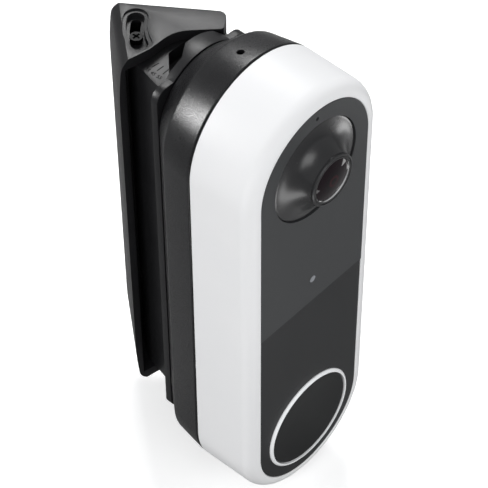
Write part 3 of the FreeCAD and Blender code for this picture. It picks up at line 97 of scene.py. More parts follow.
# Driving sizes, read from the frame where its boxes give them.
SEAM = span("front_shell")[1].y
HOUSING_HIGH = span("rear_housing")[1]
GASKET_BACK = span("housing_seal")[1].y
ARM_TOP = span("swivel_arm")[1].z
NOSE_TIP = span("lens_ring")[0].y
RING_LOW, RING_HIGH = span("light_ring")
CAP_LOW, CAP_HIGH = span("button_cap")
HALF_WIDTH = HOUSING_HIGH.x
REACH = HOUSING_HIGH.z - HALF_WIDTH
PANEL_RADIUS = 19.2 * MM
PANEL_DEPTH = 3.0 * MM
PANEL_STEP_AT = 0.7 * MM
SHELL_DRAFT = 0.45 * MM
SHELL_ROUNDING = 3.8 * MM
SHELL_WALL = 2.0 * MM
BAND_END = 29.0 * MM
BAND_DRAFT = 1.5 * MM
BAND_CAVITY = 20.0 * MM
BACK_RADIUS = 16.0 * MM
BACK_WALL = 2.0 * MM
REBATE = 0.35 * MM
REBATE_WIDTH = 1.2 * MM
RELEASE_AT = 24.0 * MM
RELEASE_RADIUS = 1.0 * MM
HOOD_RADIUS = 14.45 * MM
HOOD_FLARE = 8.6 * MM
NOSE_RADIUS = 7.2 * MM
NOSE_PROUD = 4.6 * MM
LIP_RADIUS = 5.95 * MM
LENS_DOME = 22.0 * MM
BUTTON_DISH = 200.0 * MM
BUTTON_SKIRT = 1.9 * MM
BUTTON_STEM = 2.2 * MM
PIVOT = Vector((11.0 * MM, 44.0 * MM))
SCALE_MARKS = ((35, 172.9), (45, 178.5), (55, 184.3))
SCALE_NEAR = 16.4 * MM
SCALE_FAR = 18.6 * MM
SCALE_TEXT_AT = 20.0 * MM
INK_HEIGHT = 0.03 * MM


# ---------------------------------------------------------------- materials

class Field:
    """A value on its way through a material, usable in plain arithmetic."""

    def __init__(self, shading, socket):
        self.shading = shading
        self.socket = socket

    def maths(self, operation, *values):
        return self.shading.node("ShaderNodeMath", {"operation": operation}, values)

    def __add__(self, other):
        return self.maths("ADD", self, other)

    def __radd__(self, other):
        return self.maths("ADD", other, self)

    def __sub__(self, other):
        return self.maths("SUBTRACT", self, other)

    def __rsub__(self, other):
        return self.maths("SUBTRACT", other, self)

    def __mul__(self, other):
        return self.maths("MULTIPLY", self, other)

    def __rmul__(self, other):
        return self.maths("MULTIPLY", other, self)

    def above(self, edge, blur):
        """0 below the edge and 1 above it, with a soft step of this width."""
        low, high = edge - blur / 2, edge + blur / 2
        return self.shading.node("ShaderNodeMapRange", {"interpolation_type": "SMOOTHSTEP"},
                                 (self, low, high, 0.0, 1.0))


class Shading:
    """A node tree that is drawn from nothing."""

    def __init__(self, owner):
        owner.use_nodes = True
        self.tree = owner.node_tree
        self.tree.nodes.clear()

    def connect(self, socket, value):
        if isinstance(value, Field):
            self.tree.links.new(value.socket, socket)
        else:
            socket.default_value = value

    def node(self, kind, settings=None, inputs=(), output=0):
        """Add a node: its settings first, then its sockets by place or by name."""
        made = self.tree.nodes.new(kind)
        for setting, value in (settings or {}).items():
            setattr(made, setting, value)
        pairs = inputs.items() if isinstance(inputs, dict) else enumerate(inputs)
        for socket, value in pairs:
            self.connect(made.inputs[socket], value)
        return Field(self, made.outputs[output])


class Finish(Shading):
    """A material with one Principled shader."""

    def __init__(self, name, colour, roughness, metallic=0.0, **constants):
        self.material = bpy.data.materials.new(name)
        super().__init__(self.material)
        self.shader = self.tree.nodes.new("ShaderNodeBsdfPrincipled")
        output = self.tree.nodes.new("ShaderNodeOutputMaterial")
        self.tree.links.new(self.shader.outputs[0], output.inputs["Surface"])
        self.material.diffuse_color = (*colour, 1)
        self.feed("Base Color", (*colour, 1))
        self.feed("Roughness", roughness)
        self.feed("Metallic", metallic)
        for socket, value in constants.items():
            self.feed(socket.replace("_", " ").title().replace("Ior", "IOR"), value)

    def feed(self, socket, value):
        self.connect(self.shader.inputs[socket], value)

    def place(self):
        return self.node("ShaderNodeTexCoord", output="Object")

    def axis(self, name):
        return self.node("ShaderNodeSeparateXYZ", inputs=(self.place(),), output=name)

    def noise(self, size, detail=2.0, roughness=0.5, stretch=None):
        """Cloudy noise from 0 to 1 whose lumps are this many metres across."""
        where = self.place()
        if stretch:
            where = self.node("ShaderNodeVectorMath", {"operation": "MULTIPLY"}, (where, stretch))
        return self.node("ShaderNodeTexNoise", inputs={
            "Vector": where, "Scale": 1 / size, "Detail": detail, "Roughness": roughness})

    def grain(self, size):
        """Moulded grain: rounded cells this many metres across."""
        return self.node("ShaderNodeTexVoronoi", {"feature": "SMOOTH_F1"}, {
            "Vector": self.place(), "Scale": 1 / size, "Smoothness": 0.6}, output="Distance")

    def blend(self, factor, first, second):
        """Mix two colours."""
        colours = {0: factor, 6: first, 7: second}
        return self.node("ShaderNodeMix", {"data_type": "RGBA"}, colours, output=2)

    def bump(self, height, distance, strength=1.0):
        """Raise the surface by height times this many metres."""
        normal = self.node("ShaderNodeBump", inputs={
            "Strength": strength, "Distance": distance, "Height": height})
        self.feed("Normal", normal)
        return self


def rgba(*colour):
    return (*colour, 1.0)


def grained_plastic(name, colour, roughness, grain, depth, glint=0.0, shine=0.35):
    """Moulded plastic with an even grain, a little uneven in tone and in gloss."""
    finish = Finish(name, colour, roughness, specular_ior_level=shine)
    cells = finish.grain(grain)
    clouds = finish.noise(9 * MM, detail=4)
    speck = finish.noise(grain * 0.8, detail=1)
    darker = rgba(*(part * 0.82 for part in colour))
    lighter = rgba(*(part * 1.25 + 0.002 for part in colour))
    finish.feed("Base Color", finish.blend(clouds, darker, lighter))
    finish.feed("Roughness", roughness + (clouds - 0.5) * 0.10 - speck.above(0.6, 0.1) * glint)
    return finish.bump(cells * 0.2 + speck * 0.8, depth)


def satin_white():
    """The white shell: satin paint over plastic, with a faint orange peel."""
    finish = Finish("satin_white", (0.80, 0.80, 0.81), 0.45, specular_ior_level=0.25)
    clouds = finish.noise(22 * MM, detail=3)
    peel = finish.noise(0.9 * MM, detail=2)
    finish.feed("Base Color", finish.blend(clouds, rgba(0.785, 0.79, 0.80), rgba(0.82, 0.82, 0.825)))
    finish.feed("Roughness", 0.42 + clouds * 0.08)
    return finish.bump(peel, 0.004 * MM)


def charcoal_panel():
    """The front panel: smooth charcoal, with painted shade making its lower half darker."""
    finish = Finish("charcoal_panel", (0.045, 0.047, 0.05), 0.42, specular_ior_level=0.2)
    clouds = finish.noise(14 * MM, detail=4)
    dust = finish.noise(0.25 * MM, detail=1)
    height = finish.axis("Z")
    # Painted shade: below the step the panel is coloured darker, as if its lower half were turned away from
    # the light.
    upper = height.above(PANEL_STEP_AT, 0.05 * MM)
    shade = finish.blend(upper, rgba(0.017, 0.0175, 0.0185), rgba(0.044, 0.0455, 0.0475))
    mottled = finish.blend(clouds * 0.25, shade, rgba(0.05, 0.051, 0.053))
    finish.feed("Base Color", mottled)
    finish.feed("Roughness", 0.38 + clouds * 0.08)
    return finish.bump(dust, 0.002 * MM)


def polished_black():
    """The lens hood: piano black, with very fine moulding waviness."""
    finish = Finish("polished_black", (0.010, 0.010, 0.011), 0.26, specular_ior_level=0.6)
    waves = finish.noise(6 * MM, detail=2)
    finish.feed("Base Color", finish.blend(waves, rgba(0.008, 0.008, 0.009), rgba(0.014, 0.014, 0.015)))
    finish.feed("Roughness", 0.24 + waves * 0.05)
    return finish.bump(waves, 0.01 * MM)


def turned_black(name="turned_black", tone=0.03, roughness=0.35):
    """Black turned metal, with fine rings from the lathe."""
    finish = Finish(name, (tone, tone, tone * 1.05), roughness, metallic=0.4)
    lines = finish.noise(0.12 * MM, detail=1, stretch=(1, 1, 6))
    finish.feed("Base Color", finish.blend(lines, rgba(tone * 0.7, tone * 0.7, tone * 0.75),
                                           rgba(tone * 1.4, tone * 1.4, tone * 1.45)))
    finish.feed("Roughness", roughness - 0.06 + lines * 0.12)
    return finish.bump(lines, 0.004 * MM)


def coated_glass():
    """The camera's cover glass: clear, drawn opaque with a dark red tint, with painted shade deep in its
    middle and a ring of painted reflection from the lens coating.
    """
    finish = Finish("coated_glass", (0.012, 0.006, 0.008), 0.03, specular_ior_level=0.15)
    clouds = finish.noise(3 * MM, detail=1)
    centre = HEAD @ Vector((0, -NOSE_PROUD - 1.5 * MM, REACH))
    away = finish.node("ShaderNodeVectorMath", {"operation": "DISTANCE"}, (finish.place(), centre),
                       output="Value")
    # Painted shade in the middle for the dark depth of the lens, a ring of painted reflection from its
    # coating round it, then the plain tint further out.
    dark, ring_reflection_tint, plum = rgba(0.004, 0.003, 0.004), rgba(0.030, 0.007, 0.010), rgba(0.007, 0.003, 0.005)
    reflection_ring_mask = away.above(1.1 * MM, 0.3 * MM) - away.above(1.7 * MM, 0.5 * MM)
    outer = away.above(2.6 * MM, 2.2 * MM)
    finish.feed("Base Color", finish.blend(outer * 0.9 + clouds * 0.1, finish.blend(reflection_ring_mask, dark, ring_reflection_tint), plum))
    finish.feed("Roughness", 0.02 + clouds * 0.02)
    return finish


def silver_guide():
    """The ring round the button: a silvery frosted light guide."""
    finish = Finish("silver_guide", (0.90, 0.91, 0.92), 0.35)
    brushed = finish.noise(0.3 * MM, detail=2)
    finish.feed("Base Color", finish.blend(brushed, rgba(0.87, 0.88, 0.89), rgba(0.93, 0.94, 0.95)))
    finish.feed("Roughness", 0.30 + brushed * 0.12)
    return finish.bump(brushed, 0.003 * MM)


def button_face():
    """The button: satin charcoal with a fine matt grain."""
    finish = Finish("button_face", (0.022, 0.023, 0.025), 0.4, specular_ior_level=0.16)
    clouds = finish.noise(11 * MM, detail=3)
    dust = finish.noise(0.3 * MM, detail=1)
    finish.feed("Base Color", finish.blend(clouds, rgba(0.011, 0.0115, 0.012), rgba(0.014, 0.0145, 0.015)))
    finish.feed("Roughness", 0.36 + clouds * 0.08)
    return finish.bump(dust, 0.002 * MM)


def soft_rubber():
    """Seals: matt black rubber, a little cloudy."""
    finish = Finish("soft_rubber", (0.012, 0.012, 0.012), 0.75)
    clouds = finish.noise(1.2 * MM, detail=3)
    finish.feed("Base Color", finish.blend(clouds, rgba(0.009, 0.009, 0.009), rgba(0.016, 0.016, 0.016)))
    finish.feed("Roughness", 0.68 + clouds * 0.14)
    return finish.bump(clouds, 0.02 * MM)


def plated_steel(name="plated_steel", tone=0.56, roughness=0.28):
    """Plated steel with fine scratches along its length."""
    finish = Finish(name, (tone, tone, tone), roughness, metallic=1.0)
    scratches = finish.noise(0.4 * MM, detail=3, stretch=(1, 1, 8))
    finish.feed("Base Color", finish.blend(scratches, rgba(tone * 0.8, tone * 0.8, tone * 0.8),
                                           rgba(tone * 1.15, tone * 1.15, tone * 1.16)))
    finish.feed("Roughness", roughness - 0.05 + scratches * 0.14)
    return finish.bump(scratches, 0.004 * MM)


def solder_mask():
    """Circuit board: green mask over faint copper tracks."""
    finish = Finish("solder_mask", (0.02, 0.13, 0.06), 0.35, coat_weight=0.3)
    tracks = finish.node("ShaderNodeTexWave", {"wave_type": "BANDS", "bands_direction": "DIAGONAL"}, {
        "Vector": finish.place(), "Scale": 900.0, "Distortion": 3.0})
    finish.feed("Base Color", finish.blend(tracks, rgba(0.012, 0.09, 0.04), rgba(0.03, 0.17, 0.08)))
    finish.feed("Roughness", 0.3 + tracks * 0.12)
    return finish.bump(tracks, 0.02 * MM)


def wrapped_battery():
    """The battery's shrink wrap, with soft creases."""
    finish = Finish("wrapped_battery", (0.10, 0.11, 0.13), 0.3)
    creases = finish.noise(5 * MM, detail=5, stretch=(1, 1, 0.3))
    finish.feed("Base Color", finish.blend(creases, rgba(0.08, 0.09, 0.11), rgba(0.13, 0.14, 0.16)))
    finish.feed("Roughness", 0.22 + creases * 0.2)
    return finish.bump(creases, 0.15 * MM)


def gold_flash():
    """Thin gold on the battery's contacts, a little worn."""
    finish = Finish("gold_flash", (0.8, 0.56, 0.2), 0.25, metallic=1.0)
    wear = finish.noise(0.5 * MM, detail=3)
    finish.feed("Base Color", finish.blend(wear, rgba(0.72, 0.5, 0.18), rgba(0.88, 0.66, 0.3)))
    finish.feed("Roughness", 0.2 + wear * 0.15)
    return finish


def status_window():
    """The small status light, unlit: smoked lens."""
    finish = Finish("status_window", (0.25, 0.26, 0.28), 0.25, specular_ior_level=0.6)
    clouds = finish.noise(0.6 * MM, detail=2)
    finish.feed("Base Color", finish.blend(clouds, rgba(0.20, 0.21, 0.23), rgba(0.30, 0.31, 0.33)))
    finish.feed("Roughness", 0.2 + clouds * 0.1)
    return finish


def printed_ink():
    """Matt black ink of the scale's lines and numbers."""
    finish = Finish("printed_scale", (0.002, 0.002, 0.002), 0.6, specular_ior_level=0.0)
    wear = finish.noise(0.3 * MM, detail=2)
    finish.feed("Base Color", finish.blend(wear, rgba(0.001, 0.001, 0.001), rgba(0.003, 0.003, 0.003)))
    finish.feed("Roughness", 0.5 + wear * 0.2)
    return finish


BRACKET_PLASTIC = grained_plastic("bracket_plastic", (0.010, 0.010, 0.011), 0.40, 0.32 * MM, 0.02 * MM,
                                  glint=0.08, shine=0.24)
BAND_PLASTIC = grained_plastic("band_plastic", (0.009, 0.009, 0.010), 0.30, 0.24 * MM, 0.030 * MM,
                               glint=0.12, shine=0.34)
FRAME_PLASTIC = grained_plastic("frame_plastic", (0.10, 0.10, 0.11), 0.5, 0.4 * MM, 0.02 * MM)
CHIP_BLACK = grained_plastic("chip_black", (0.02, 0.02, 0.022), 0.5, 0.2 * MM, 0.01 * MM)
WHITE = satin_white()
PANEL = charcoal_panel()
HOOD_BLACK = polished_black()
RING_BLACK = turned_black()
GLASS = coated_glass()
SILVER = silver_guide()
BUTTON = button_face()
RUBBER = soft_rubber()
STEEL = plated_steel()
LIP_STEEL = plated_steel("polished_lip", 0.75, 0.2)
BLACK_STEEL = plated_steel("black_steel", 0.018, 0.5)
BOARD = solder_mask()
BATTERY = wrapped_battery()
GOLD = gold_flash()
STATUS = status_window()
INK = printed_ink()


# ---------------------------------------------------------------- mesh tools

def rounded(path):
    """A path of (across, along, fillet) corners with each corner turned into a small arc."""
    points = []
    for step, (across, along, fillet) in enumerate(path):
        corner = Vector((across, along))
        if fillet <= 0 or step in (0, len(path) - 1):
            points.append(corner)
            continue
        before = Vector(path[step - 1][:2]) - corner
        after = Vector(path[step + 1][:2]) - corner
        half = before.angle(after) / 2
        run = min(fillet / math.tan(half), before.length * 0.92, after.length * 0.92)
        radius = run * math.tan(half)
        start = corner + before.normalized() * run
        end = corner + after.normalized() * run
        centre = corner + (before.normalized() + after.normalized()).normalized() * (radius / math.sin(half))
        steps = max(3, math.ceil((math.pi - 2 * half) / math.radians(12)))
        first = start - centre
        turn = first.angle_signed(end - centre)
        for part in range(steps + 1):
            angle = -turn * part / steps
            points.append(centre + Matrix.Rotation(angle, 2) @ first)
    return points


def solid_from(name, bm, material, matrix=None, sharp=32):
    """Finish a mesh: weld it, turn its faces outwards, shade it smooth and name it."""
    bmesh.ops.remove_doubles(bm, verts=bm.verts, dist=1e-6)
    bmesh.ops.dissolve_degenerate(bm, dist=1e-7, edges=bm.edges)
    bmesh.ops.recalc_face_normals(bm, faces=bm.faces)
    mesh = bpy.data.meshes.new(name)
    bm.to_mesh(mesh)
    bm.free()
    if matrix is not None:
        mesh.transform(matrix)
    piece = bpy.data.objects.new(name, mesh)
    bpy.context.scene.collection.objects.link(piece)
    dress(piece, material)
    shade(piece, sharp)
    return piece


def dress(piece, finish):
    piece.data.materials.clear()
    piece.data.materials.append(finish.material)


def shade(piece, sharp):
    for face in piece.data.polygons:
        face.use_smooth = True
    piece.data.set_sharp_from_angle(angle=math.radians(sharp))


def ring_skin(bm, rings, closed):
    """Join rings of corners into faces; closed also joins the last ring to the first."""
    made = [[bm.verts.new(point) for point in ring] for ring in rings]
    pairs = list(zip(made, made[1:]))
    if closed:
        pairs.append((made[-1], made[0]))
    for one, other in pairs:
        count = len(one)
        for step in range(count):
            following = (step + 1) % count
            corners = [one[step], one[following], other[following], other[step]]
            bm.faces.new(corners)


def stadium_ring(radius, depth, steps=56):
    """Corners round a stadium: two half circles joined by straight sides."""
    ring = []
    for first, middle in ((0, REACH), (math.pi, -REACH)):
        for step in range(steps + 1):
            angle = first + math.pi * step / steps
            ring.append(Vector((radius * math.cos(angle), depth, middle + radius * math.sin(angle))))
    return ring


def swept_stadium(name, path, material, closed=True, sharp=32):
    """A moulding whose (radius, depth, fillet) section runs round the doorbell's outline."""
    bm = bmesh.new()
    ring_skin(bm, [stadium_ring(point.x, point.y) for point in rounded(path)], closed)
    return solid_from(name, bm, material, HEAD, sharp)


def turned(name, path, height, material, closed=False, steps=128, sharp=32):
    """A turned piece whose (radius, depth, fillet) section goes round the Y axis at this height."""
    bm = bmesh.new()
    rings = []
    for point in rounded(path):
        ring = []
        for step in range(steps):
            angle = 2 * math.pi * step / steps
            ring.append(Vector((point.x * math.cos(angle), point.y, height + point.x * math.sin(angle))))
        rings.append(ring)
    ring_skin(bm, rings, closed)
    return solid_from(name, bm, material, HEAD, sharp)


def cylinder_tool(radius, start, end, steps=48):
    """A plain cylinder between two points of the head, used only to cut."""
    direction = end - start
    bm = bmesh.new()
    bmesh.ops.create_cone(bm, cap_ends=True, segments=steps, radius1=radius, radius2=radius,
                          depth=direction.length)
    matrix = Matrix.Translation((start + end) / 2) @ direction.to_track_quat("Z", "Y").to_matrix().to_4x4()
    bm.transform(HEAD @ matrix)
    return tool_from(bm)


def box_tool(low, high):
    """A plain box in the head's axes, used only to cut."""
    bm = bmesh.new()
    bmesh.ops.create_cube(bm, size=1)
    size = Vector(high) - Vector(low)
    middle = (Vector(high) + Vector(low)) / 2
    bm.transform(HEAD @ Matrix.Translation(middle) @ Matrix.Diagonal((*size, 1)))
    return tool_from(bm)


def tool_from(bm):
    mesh = bpy.data.meshes.new("tool")
    bm.to_mesh(mesh)
    bm.free()
    tool = bpy.data.objects.new("tool", mesh)
    bpy.context.scene.collection.objects.link(tool)
    return tool


def apply_modifiers(piece):
    """Turn a piece's modifiers into its mesh."""
    bpy.context.view_layer.update()
    evaluated = piece.evaluated_get(bpy.context.evaluated_depsgraph_get())
    mesh = bpy.data.meshes.new_from_object(evaluated)
    piece.modifiers.clear()
    piece.data = mesh


def carve(piece, tools, sharp=32):
    """Cut the tools out of a piece and throw them away."""
    for tool in tools:
        modifier = piece.modifiers.new("cut", "BOOLEAN")
        modifier.operation = "DIFFERENCE"
        modifier.solver = "EXACT"
        modifier.object = tool
    apply_modifiers(piece)
    for tool in tools:
        bpy.data.objects.remove(tool)
    shade(piece, sharp)
    return piece


def softened(node, width, material, sharp=32, segments=3):
    """A copy of a CAD node whose sharp edges are rounded off."""
    source = frame["nodes"][node]
    bm = bmesh.new()
    bm.from_mesh(source.data)
    bmesh.ops.remove_doubles(bm, verts=bm.verts, dist=2e-6)
    bmesh.ops.dissolve_limit(bm, angle_limit=math.radians(1), verts=bm.verts, edges=bm.edges)
    piece = solid_from(node + "_moulding", bm, material, sharp=sharp)
    bevel = piece.modifiers.new("round", "BEVEL")
    bevel.width = width
    bevel.segments = segments
    bevel.limit_method = "ANGLE"
    bevel.angle_limit = math.radians(28)
    bevel.use_clamp_overlap = True
    apply_modifiers(piece)
    shade(piece, sharp)
    return piece


def settle(piece, body, *nodes, slot):
    """Put a piece on its body, in place of these CAD nodes; its slot is not used."""
    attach(piece, body)
    if nodes:
        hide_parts(*nodes)
    return piece


# ---------------------------------------------------------------- doorbell shells

def white_shell():
    """The white front shell, rounded at the front and open round the panel."""
    inner = PANEL_RADIUS + 0.1 * MM
    hollow = HALF_WIDTH - SHELL_WALL
    path = [(hollow, PANEL_DEPTH, 0), (hollow, SEAM, 0), (HALF_WIDTH, SEAM, 0.35 * MM),
            (HALF_WIDTH - SHELL_DRAFT, 0, SHELL_ROUNDING), (inner, 0, 0.25 * MM),
            (inner, PANEL_DEPTH, 0), (hollow, PANEL_DEPTH, 0)]
    piece = swept_stadium("white_shell", path, WHITE)
    return settle(piece, "swivel_head", "front_shell", slot="white_plastic")


def black_band():
    """The black rear housing: a band, a bevel and a rebate where it meets the plate."""
    front = GASKET_BACK
    rear = HOUSING_HIGH.y
    inner = BACK_RADIUS - REBATE_WIDTH
    path = [(BAND_CAVITY, front, 0), (HALF_WIDTH, front, 0.35 * MM),
            (HALF_WIDTH - BAND_DRAFT, BAND_END, 1.6 * MM), (BACK_RADIUS, rear - REBATE, 0.6 * MM),
            (inner, rear - REBATE, 0), (inner, rear, 0), (6 * MM, rear, 0), (6 * MM, rear - BACK_WALL, 0),
            (13 * MM, rear - BACK_WALL, 0), (BAND_CAVITY, BAND_END - 1.5 * MM, 0), (BAND_CAVITY, front, 0)]
    piece = swept_stadium("black_band", path, BAND_PLASTIC)
    top = REACH + HALF_WIDTH
    tools = [cylinder_tool(RELEASE_RADIUS, Vector((0, RELEASE_AT, top - 8 * MM)),
                           Vector((0, RELEASE_AT, top + 2 * MM)))]
    for slit in range(-2, 3):
        tools.append(box_tool(((slit * 3 - 0.6) * MM, SEAM + 3 * MM, -top - 1 * MM),
                              ((slit * 3 + 0.6) * MM, SEAM + 8 * MM, -top + 6 * MM)))
    carve(piece, tools)
    return settle(piece, "swivel_head", "rear_housing", slot="band_plastic")


# ---------------------------------------------------------------- camera nose and button

def curve(start, end, radius, hollow, steps=14):
    """Corners of an arc between two (radius, depth) points; hollow arcs are centred in front."""
    start, end = Vector(start), Vector(end)
    chord = end - start
    sink = math.sqrt(radius ** 2 - (chord.length / 2) ** 2)
    across = Vector((chord.y, -chord.x)).normalized() * sink
    middle = (start + end) / 2
    centre = min((middle + across, middle - across), key=lambda spot: spot.y * (1 if hollow else -1))
    first = start - centre
    turn = first.angle_signed(end - centre)
    return [(*(centre + Matrix.Rotation(-turn * step / steps, 2) @ first), 0) for step in range(steps + 1)]


def lens_hood():
    """The flared black cone that carries the camera's nose."""
    foot = PANEL_DEPTH + 1.2 * MM
    neck = NOSE_RADIUS - 0.9 * MM
    flare = curve((HOOD_RADIUS - 0.12 * MM, 0.3 * MM), (NOSE_RADIUS, -NOSE_PROUD), HOOD_FLARE, hollow=True)
    path = [(HOOD_RADIUS, foot, 0), (HOOD_RADIUS, 0.42 * MM, 0), *flare,
            (neck, -NOSE_PROUD, 0), (neck, foot, 0), (HOOD_RADIUS, foot, 0)]
    piece = turned("flared_hood", path, REACH, HOOD_BLACK, sharp=40)
    return settle(piece, "swivel_head", "lens_hood", slot="gloss_black")


def nose_rings():
    """Three fine rings at the tip of the nose, with a bright lip round the glass."""
    tip = NOSE_TIP
    back = -NOSE_PROUD
    groove = tip + 0.28 * MM
    rings = [(NOSE_RADIUS, back, 0), (NOSE_RADIUS, tip + 0.25 * MM, 0.1 * MM),
             (NOSE_RADIUS - 0.25 * MM, tip, 0.08 * MM), (NOSE_RADIUS - 0.55 * MM, tip, 0.05 * MM),
             (NOSE_RADIUS - 0.62 * MM, groove, 0), (NOSE_RADIUS - 0.72 * MM, groove, 0),
             (NOSE_RADIUS - 0.78 * MM, tip + 0.05 * MM, 0.05 * MM),
             (LIP_RADIUS + 0.12 * MM, tip + 0.05 * MM, 0.03 * MM),
             (LIP_RADIUS + 0.06 * MM, tip + 0.22 * MM, 0), (LIP_RADIUS, tip + 0.22 * MM, 0),
             (LIP_RADIUS, back, 0), (NOSE_RADIUS, back, 0)]
    piece = turned("nose_rings", rings, REACH, RING_BLACK, sharp=50)
    settle(piece, "swivel_head", "lens_ring", slot="ring_black")
    inner = LIP_RADIUS - 0.22 * MM
    lip = [(LIP_RADIUS, back, 0), (LIP_RADIUS, tip + 0.12 * MM, 0), (inner, tip + 0.5 * MM, 0),
           (inner, back, 0), (LIP_RADIUS, back, 0)]
    bright = turned("bright_lip", lip, REACH, LIP_STEEL, sharp=50)
    settle(bright, "swivel_head", slot="bright_steel")
    glass_radius = LIP_RADIUS - 0.1 * MM
    edge = tip + 0.45 * MM
    dome = curve((0, edge - 0.75 * MM), (glass_radius, edge), LENS_DOME, hollow=False)
    glass = turned("front_glass", [*dome, (glass_radius, back, 0), (0, back, 0)], REACH, GLASS, sharp=50)
    settle(glass, "swivel_head", "lens_glass", slot="lens_glass")


def ring_and_button():
    """The silver light guide, and the shallow dished button inside it."""
    proud = RING_LOW.y
    outer = RING_HIGH.x
    bore = CAP_HIGH.x + 0.3 * MM
    back = RING_HIGH.y
    ring = [(bore, back, 0), (bore, proud, 0.08 * MM), (bore + 0.35 * MM, proud, 0.12 * MM),
            (outer, 0, 0.1 * MM), (outer, back, 0), (bore, back, 0)]
    settle(turned("silver_ring", ring, -REACH, SILVER), "swivel_head", "light_ring", slot="light_guide")
    edge = CAP_HIGH.x
    front = CAP_LOW.y
    under = front + BUTTON_SKIRT
    dish = curve((0, front + 0.45 * MM), (edge - 0.3 * MM, front), BUTTON_DISH, hollow=True)
    cap = [*dish[:-1], (edge - 0.3 * MM, front, 0.1 * MM), (edge, front + 0.2 * MM, 0.1 * MM),
           (edge, under, 0), (BUTTON_STEM, under, 0), (BUTTON_STEM, CAP_HIGH.y, 0),
           (0, CAP_HIGH.y, 0)]
    button = turned("round_button", cap, -REACH, BUTTON)
    settle(button, "call_button", "button_cap", slot="button_plastic")


# ---------------------------------------------------------------- bracket, arm and plate

def wall_pieces():
    """The bracket, the arm and the plate, with their moulded edges rounded."""
    for node, body, width in (("wall_bracket", "wall_bracket", 0.45 * MM),
                              ("swivel_arm", "swivel_head", 0.3 * MM),
                              ("mounting_plate", "swivel_head", 0.45 * MM)):
        piece = softened(node, width, BRACKET_PLASTIC)
        settle(piece, body, node, slot="bracket_plastic")


def flat_mark(name, corners, material):
    """A thin inked shape on the arm's top face, drawn in the head's X and Y."""
    bm = bmesh.new()
    bm.faces.new([bm.verts.new((x, y, ARM_TOP)) for x, y in corners])
    raised = bmesh.ops.extrude_face_region(bm, geom=bm.faces[:])
    lifted = [item for item in raised["geom"] if isinstance(item, bmesh.types.BMVert)]
    bmesh.ops.translate(bm, vec=(0, 0, INK_HEIGHT), verts=lifted)
    return solid_from(name, bm, material, HEAD)


def scale_number(number, spot, turn):
    """A plain number lying on the arm's top face."""
    text = bpy.data.curves.new(f"scale_text_{number}", "FONT")
    text.body = str(number)
    text.size = 1.5 * MM
    text.extrude = INK_HEIGHT / 2
    text.align_x = "CENTER"
    text.align_y = "CENTER"
    holder = bpy.data.objects.new("text", text)
    bpy.context.scene.collection.objects.link(holder)
    bpy.context.view_layer.update()
    mesh = bpy.data.meshes.new_from_object(holder)
    bpy.data.objects.remove(holder)
    mesh.transform(HEAD @ Matrix.Translation((spot.x, spot.y, ARM_TOP + INK_HEIGHT / 2))
                   @ Matrix.Rotation(turn + math.radians(90), 4, "Z"))
    piece = bpy.data.objects.new(f"scale_number_{number}", mesh)
    bpy.context.scene.collection.objects.link(piece)
    dress(piece, INK)
    return piece


def swivel_scale():
    """Three short lines with plain numbers beside them, fanned round the pivot."""
    for number, angle in SCALE_MARKS:
        turn = math.radians(angle)
        along = Vector((math.cos(turn), math.sin(turn)))
        across = Vector((-along.y, along.x)) * 0.11 * MM
        near = PIVOT + along * SCALE_NEAR
        far = PIVOT + along * SCALE_FAR
        corners = [near - across, near + across, far + across, far - across]
        line = flat_mark(f"scale_line_{number}", corners, INK)
        settle(line, "swivel_head", slot="bracket_plastic")
        piece = scale_number(number, PIVOT + along * SCALE_TEXT_AT, turn)
        settle(piece, "swivel_head", slot="bracket_plastic")


white_shell()
black_band()
lens_hood()
nose_rings()
ring_and_button()
wall_pieces()
swivel_scale()

CAD_FINISHES = {
    "wall_bracket": BRACKET_PLASTIC, "swivel_arm": BRACKET_PLASTIC, "mounting_plate": BRACKET_PLASTIC,
    "rear_housing": BAND_PLASTIC, "front_shell": WHITE, "housing_seal": RUBBER, "front_panel": PANEL,
    "lens_hood": HOOD_BLACK, "lens_ring": RING_BLACK, "lens_glass": GLASS, "lens_barrel": RING_BLACK,
    "lens_elements": GLASS, "camera_board": BOARD, "image_sensor": CHIP_BLACK, "microphone": STEEL,
    "microphone_seal": RUBBER, "status_light_pipe": STATUS, "status_lamp": STATUS, "light_ring": SILVER,
    "button_cap": BUTTON, "button_seal": RUBBER, "button_switch": CHIP_BLACK, "inner_frame": FRAME_PLASTIC,
    "main_board": BOARD, "board_chips": CHIP_BLACK, "shield_can": STEEL, "antenna": BOARD,
    "battery_pack": BATTERY, "battery_contacts": GOLD, "speaker": CHIP_BLACK, "speaker_seal": RUBBER,
    "case_screws": STEEL, "board_screws": STEEL, "plate_screws": BLACK_STEEL, "release_latch": FRAME_PLASTIC,
    "latch_spring": STEEL, "lock_screw_upper": BLACK_STEEL, "lock_screw_lower": BLACK_STEEL,
    "pivot_pin_upper": STEEL, "pivot_pin_lower": STEEL,
}
for node, finish in CAD_FINISHES.items():
    dress(frame["nodes"][node], finish)


# ---------------------------------------------------------------- floor, light and camera

class Backdrop(Shading):
    """The shader tree of the floor or the sky."""

    def show(self, output, lighting, seen, mirrored):
        """Use one shader for its light, the other where it is seen; gloss mirrors a share of it."""
        path = "ShaderNodeLightPath"
        share = (self.node(path, output="Is Camera Ray") + self.node(path, output="Is Glossy Ray") * mirrored
                 + self.node(path, output="Is Transmission Ray"))
        mixed = self.node("ShaderNodeMixShader", inputs=(share, lighting, seen))
        self.connect(self.tree.nodes.new(output).inputs["Surface"], mixed)


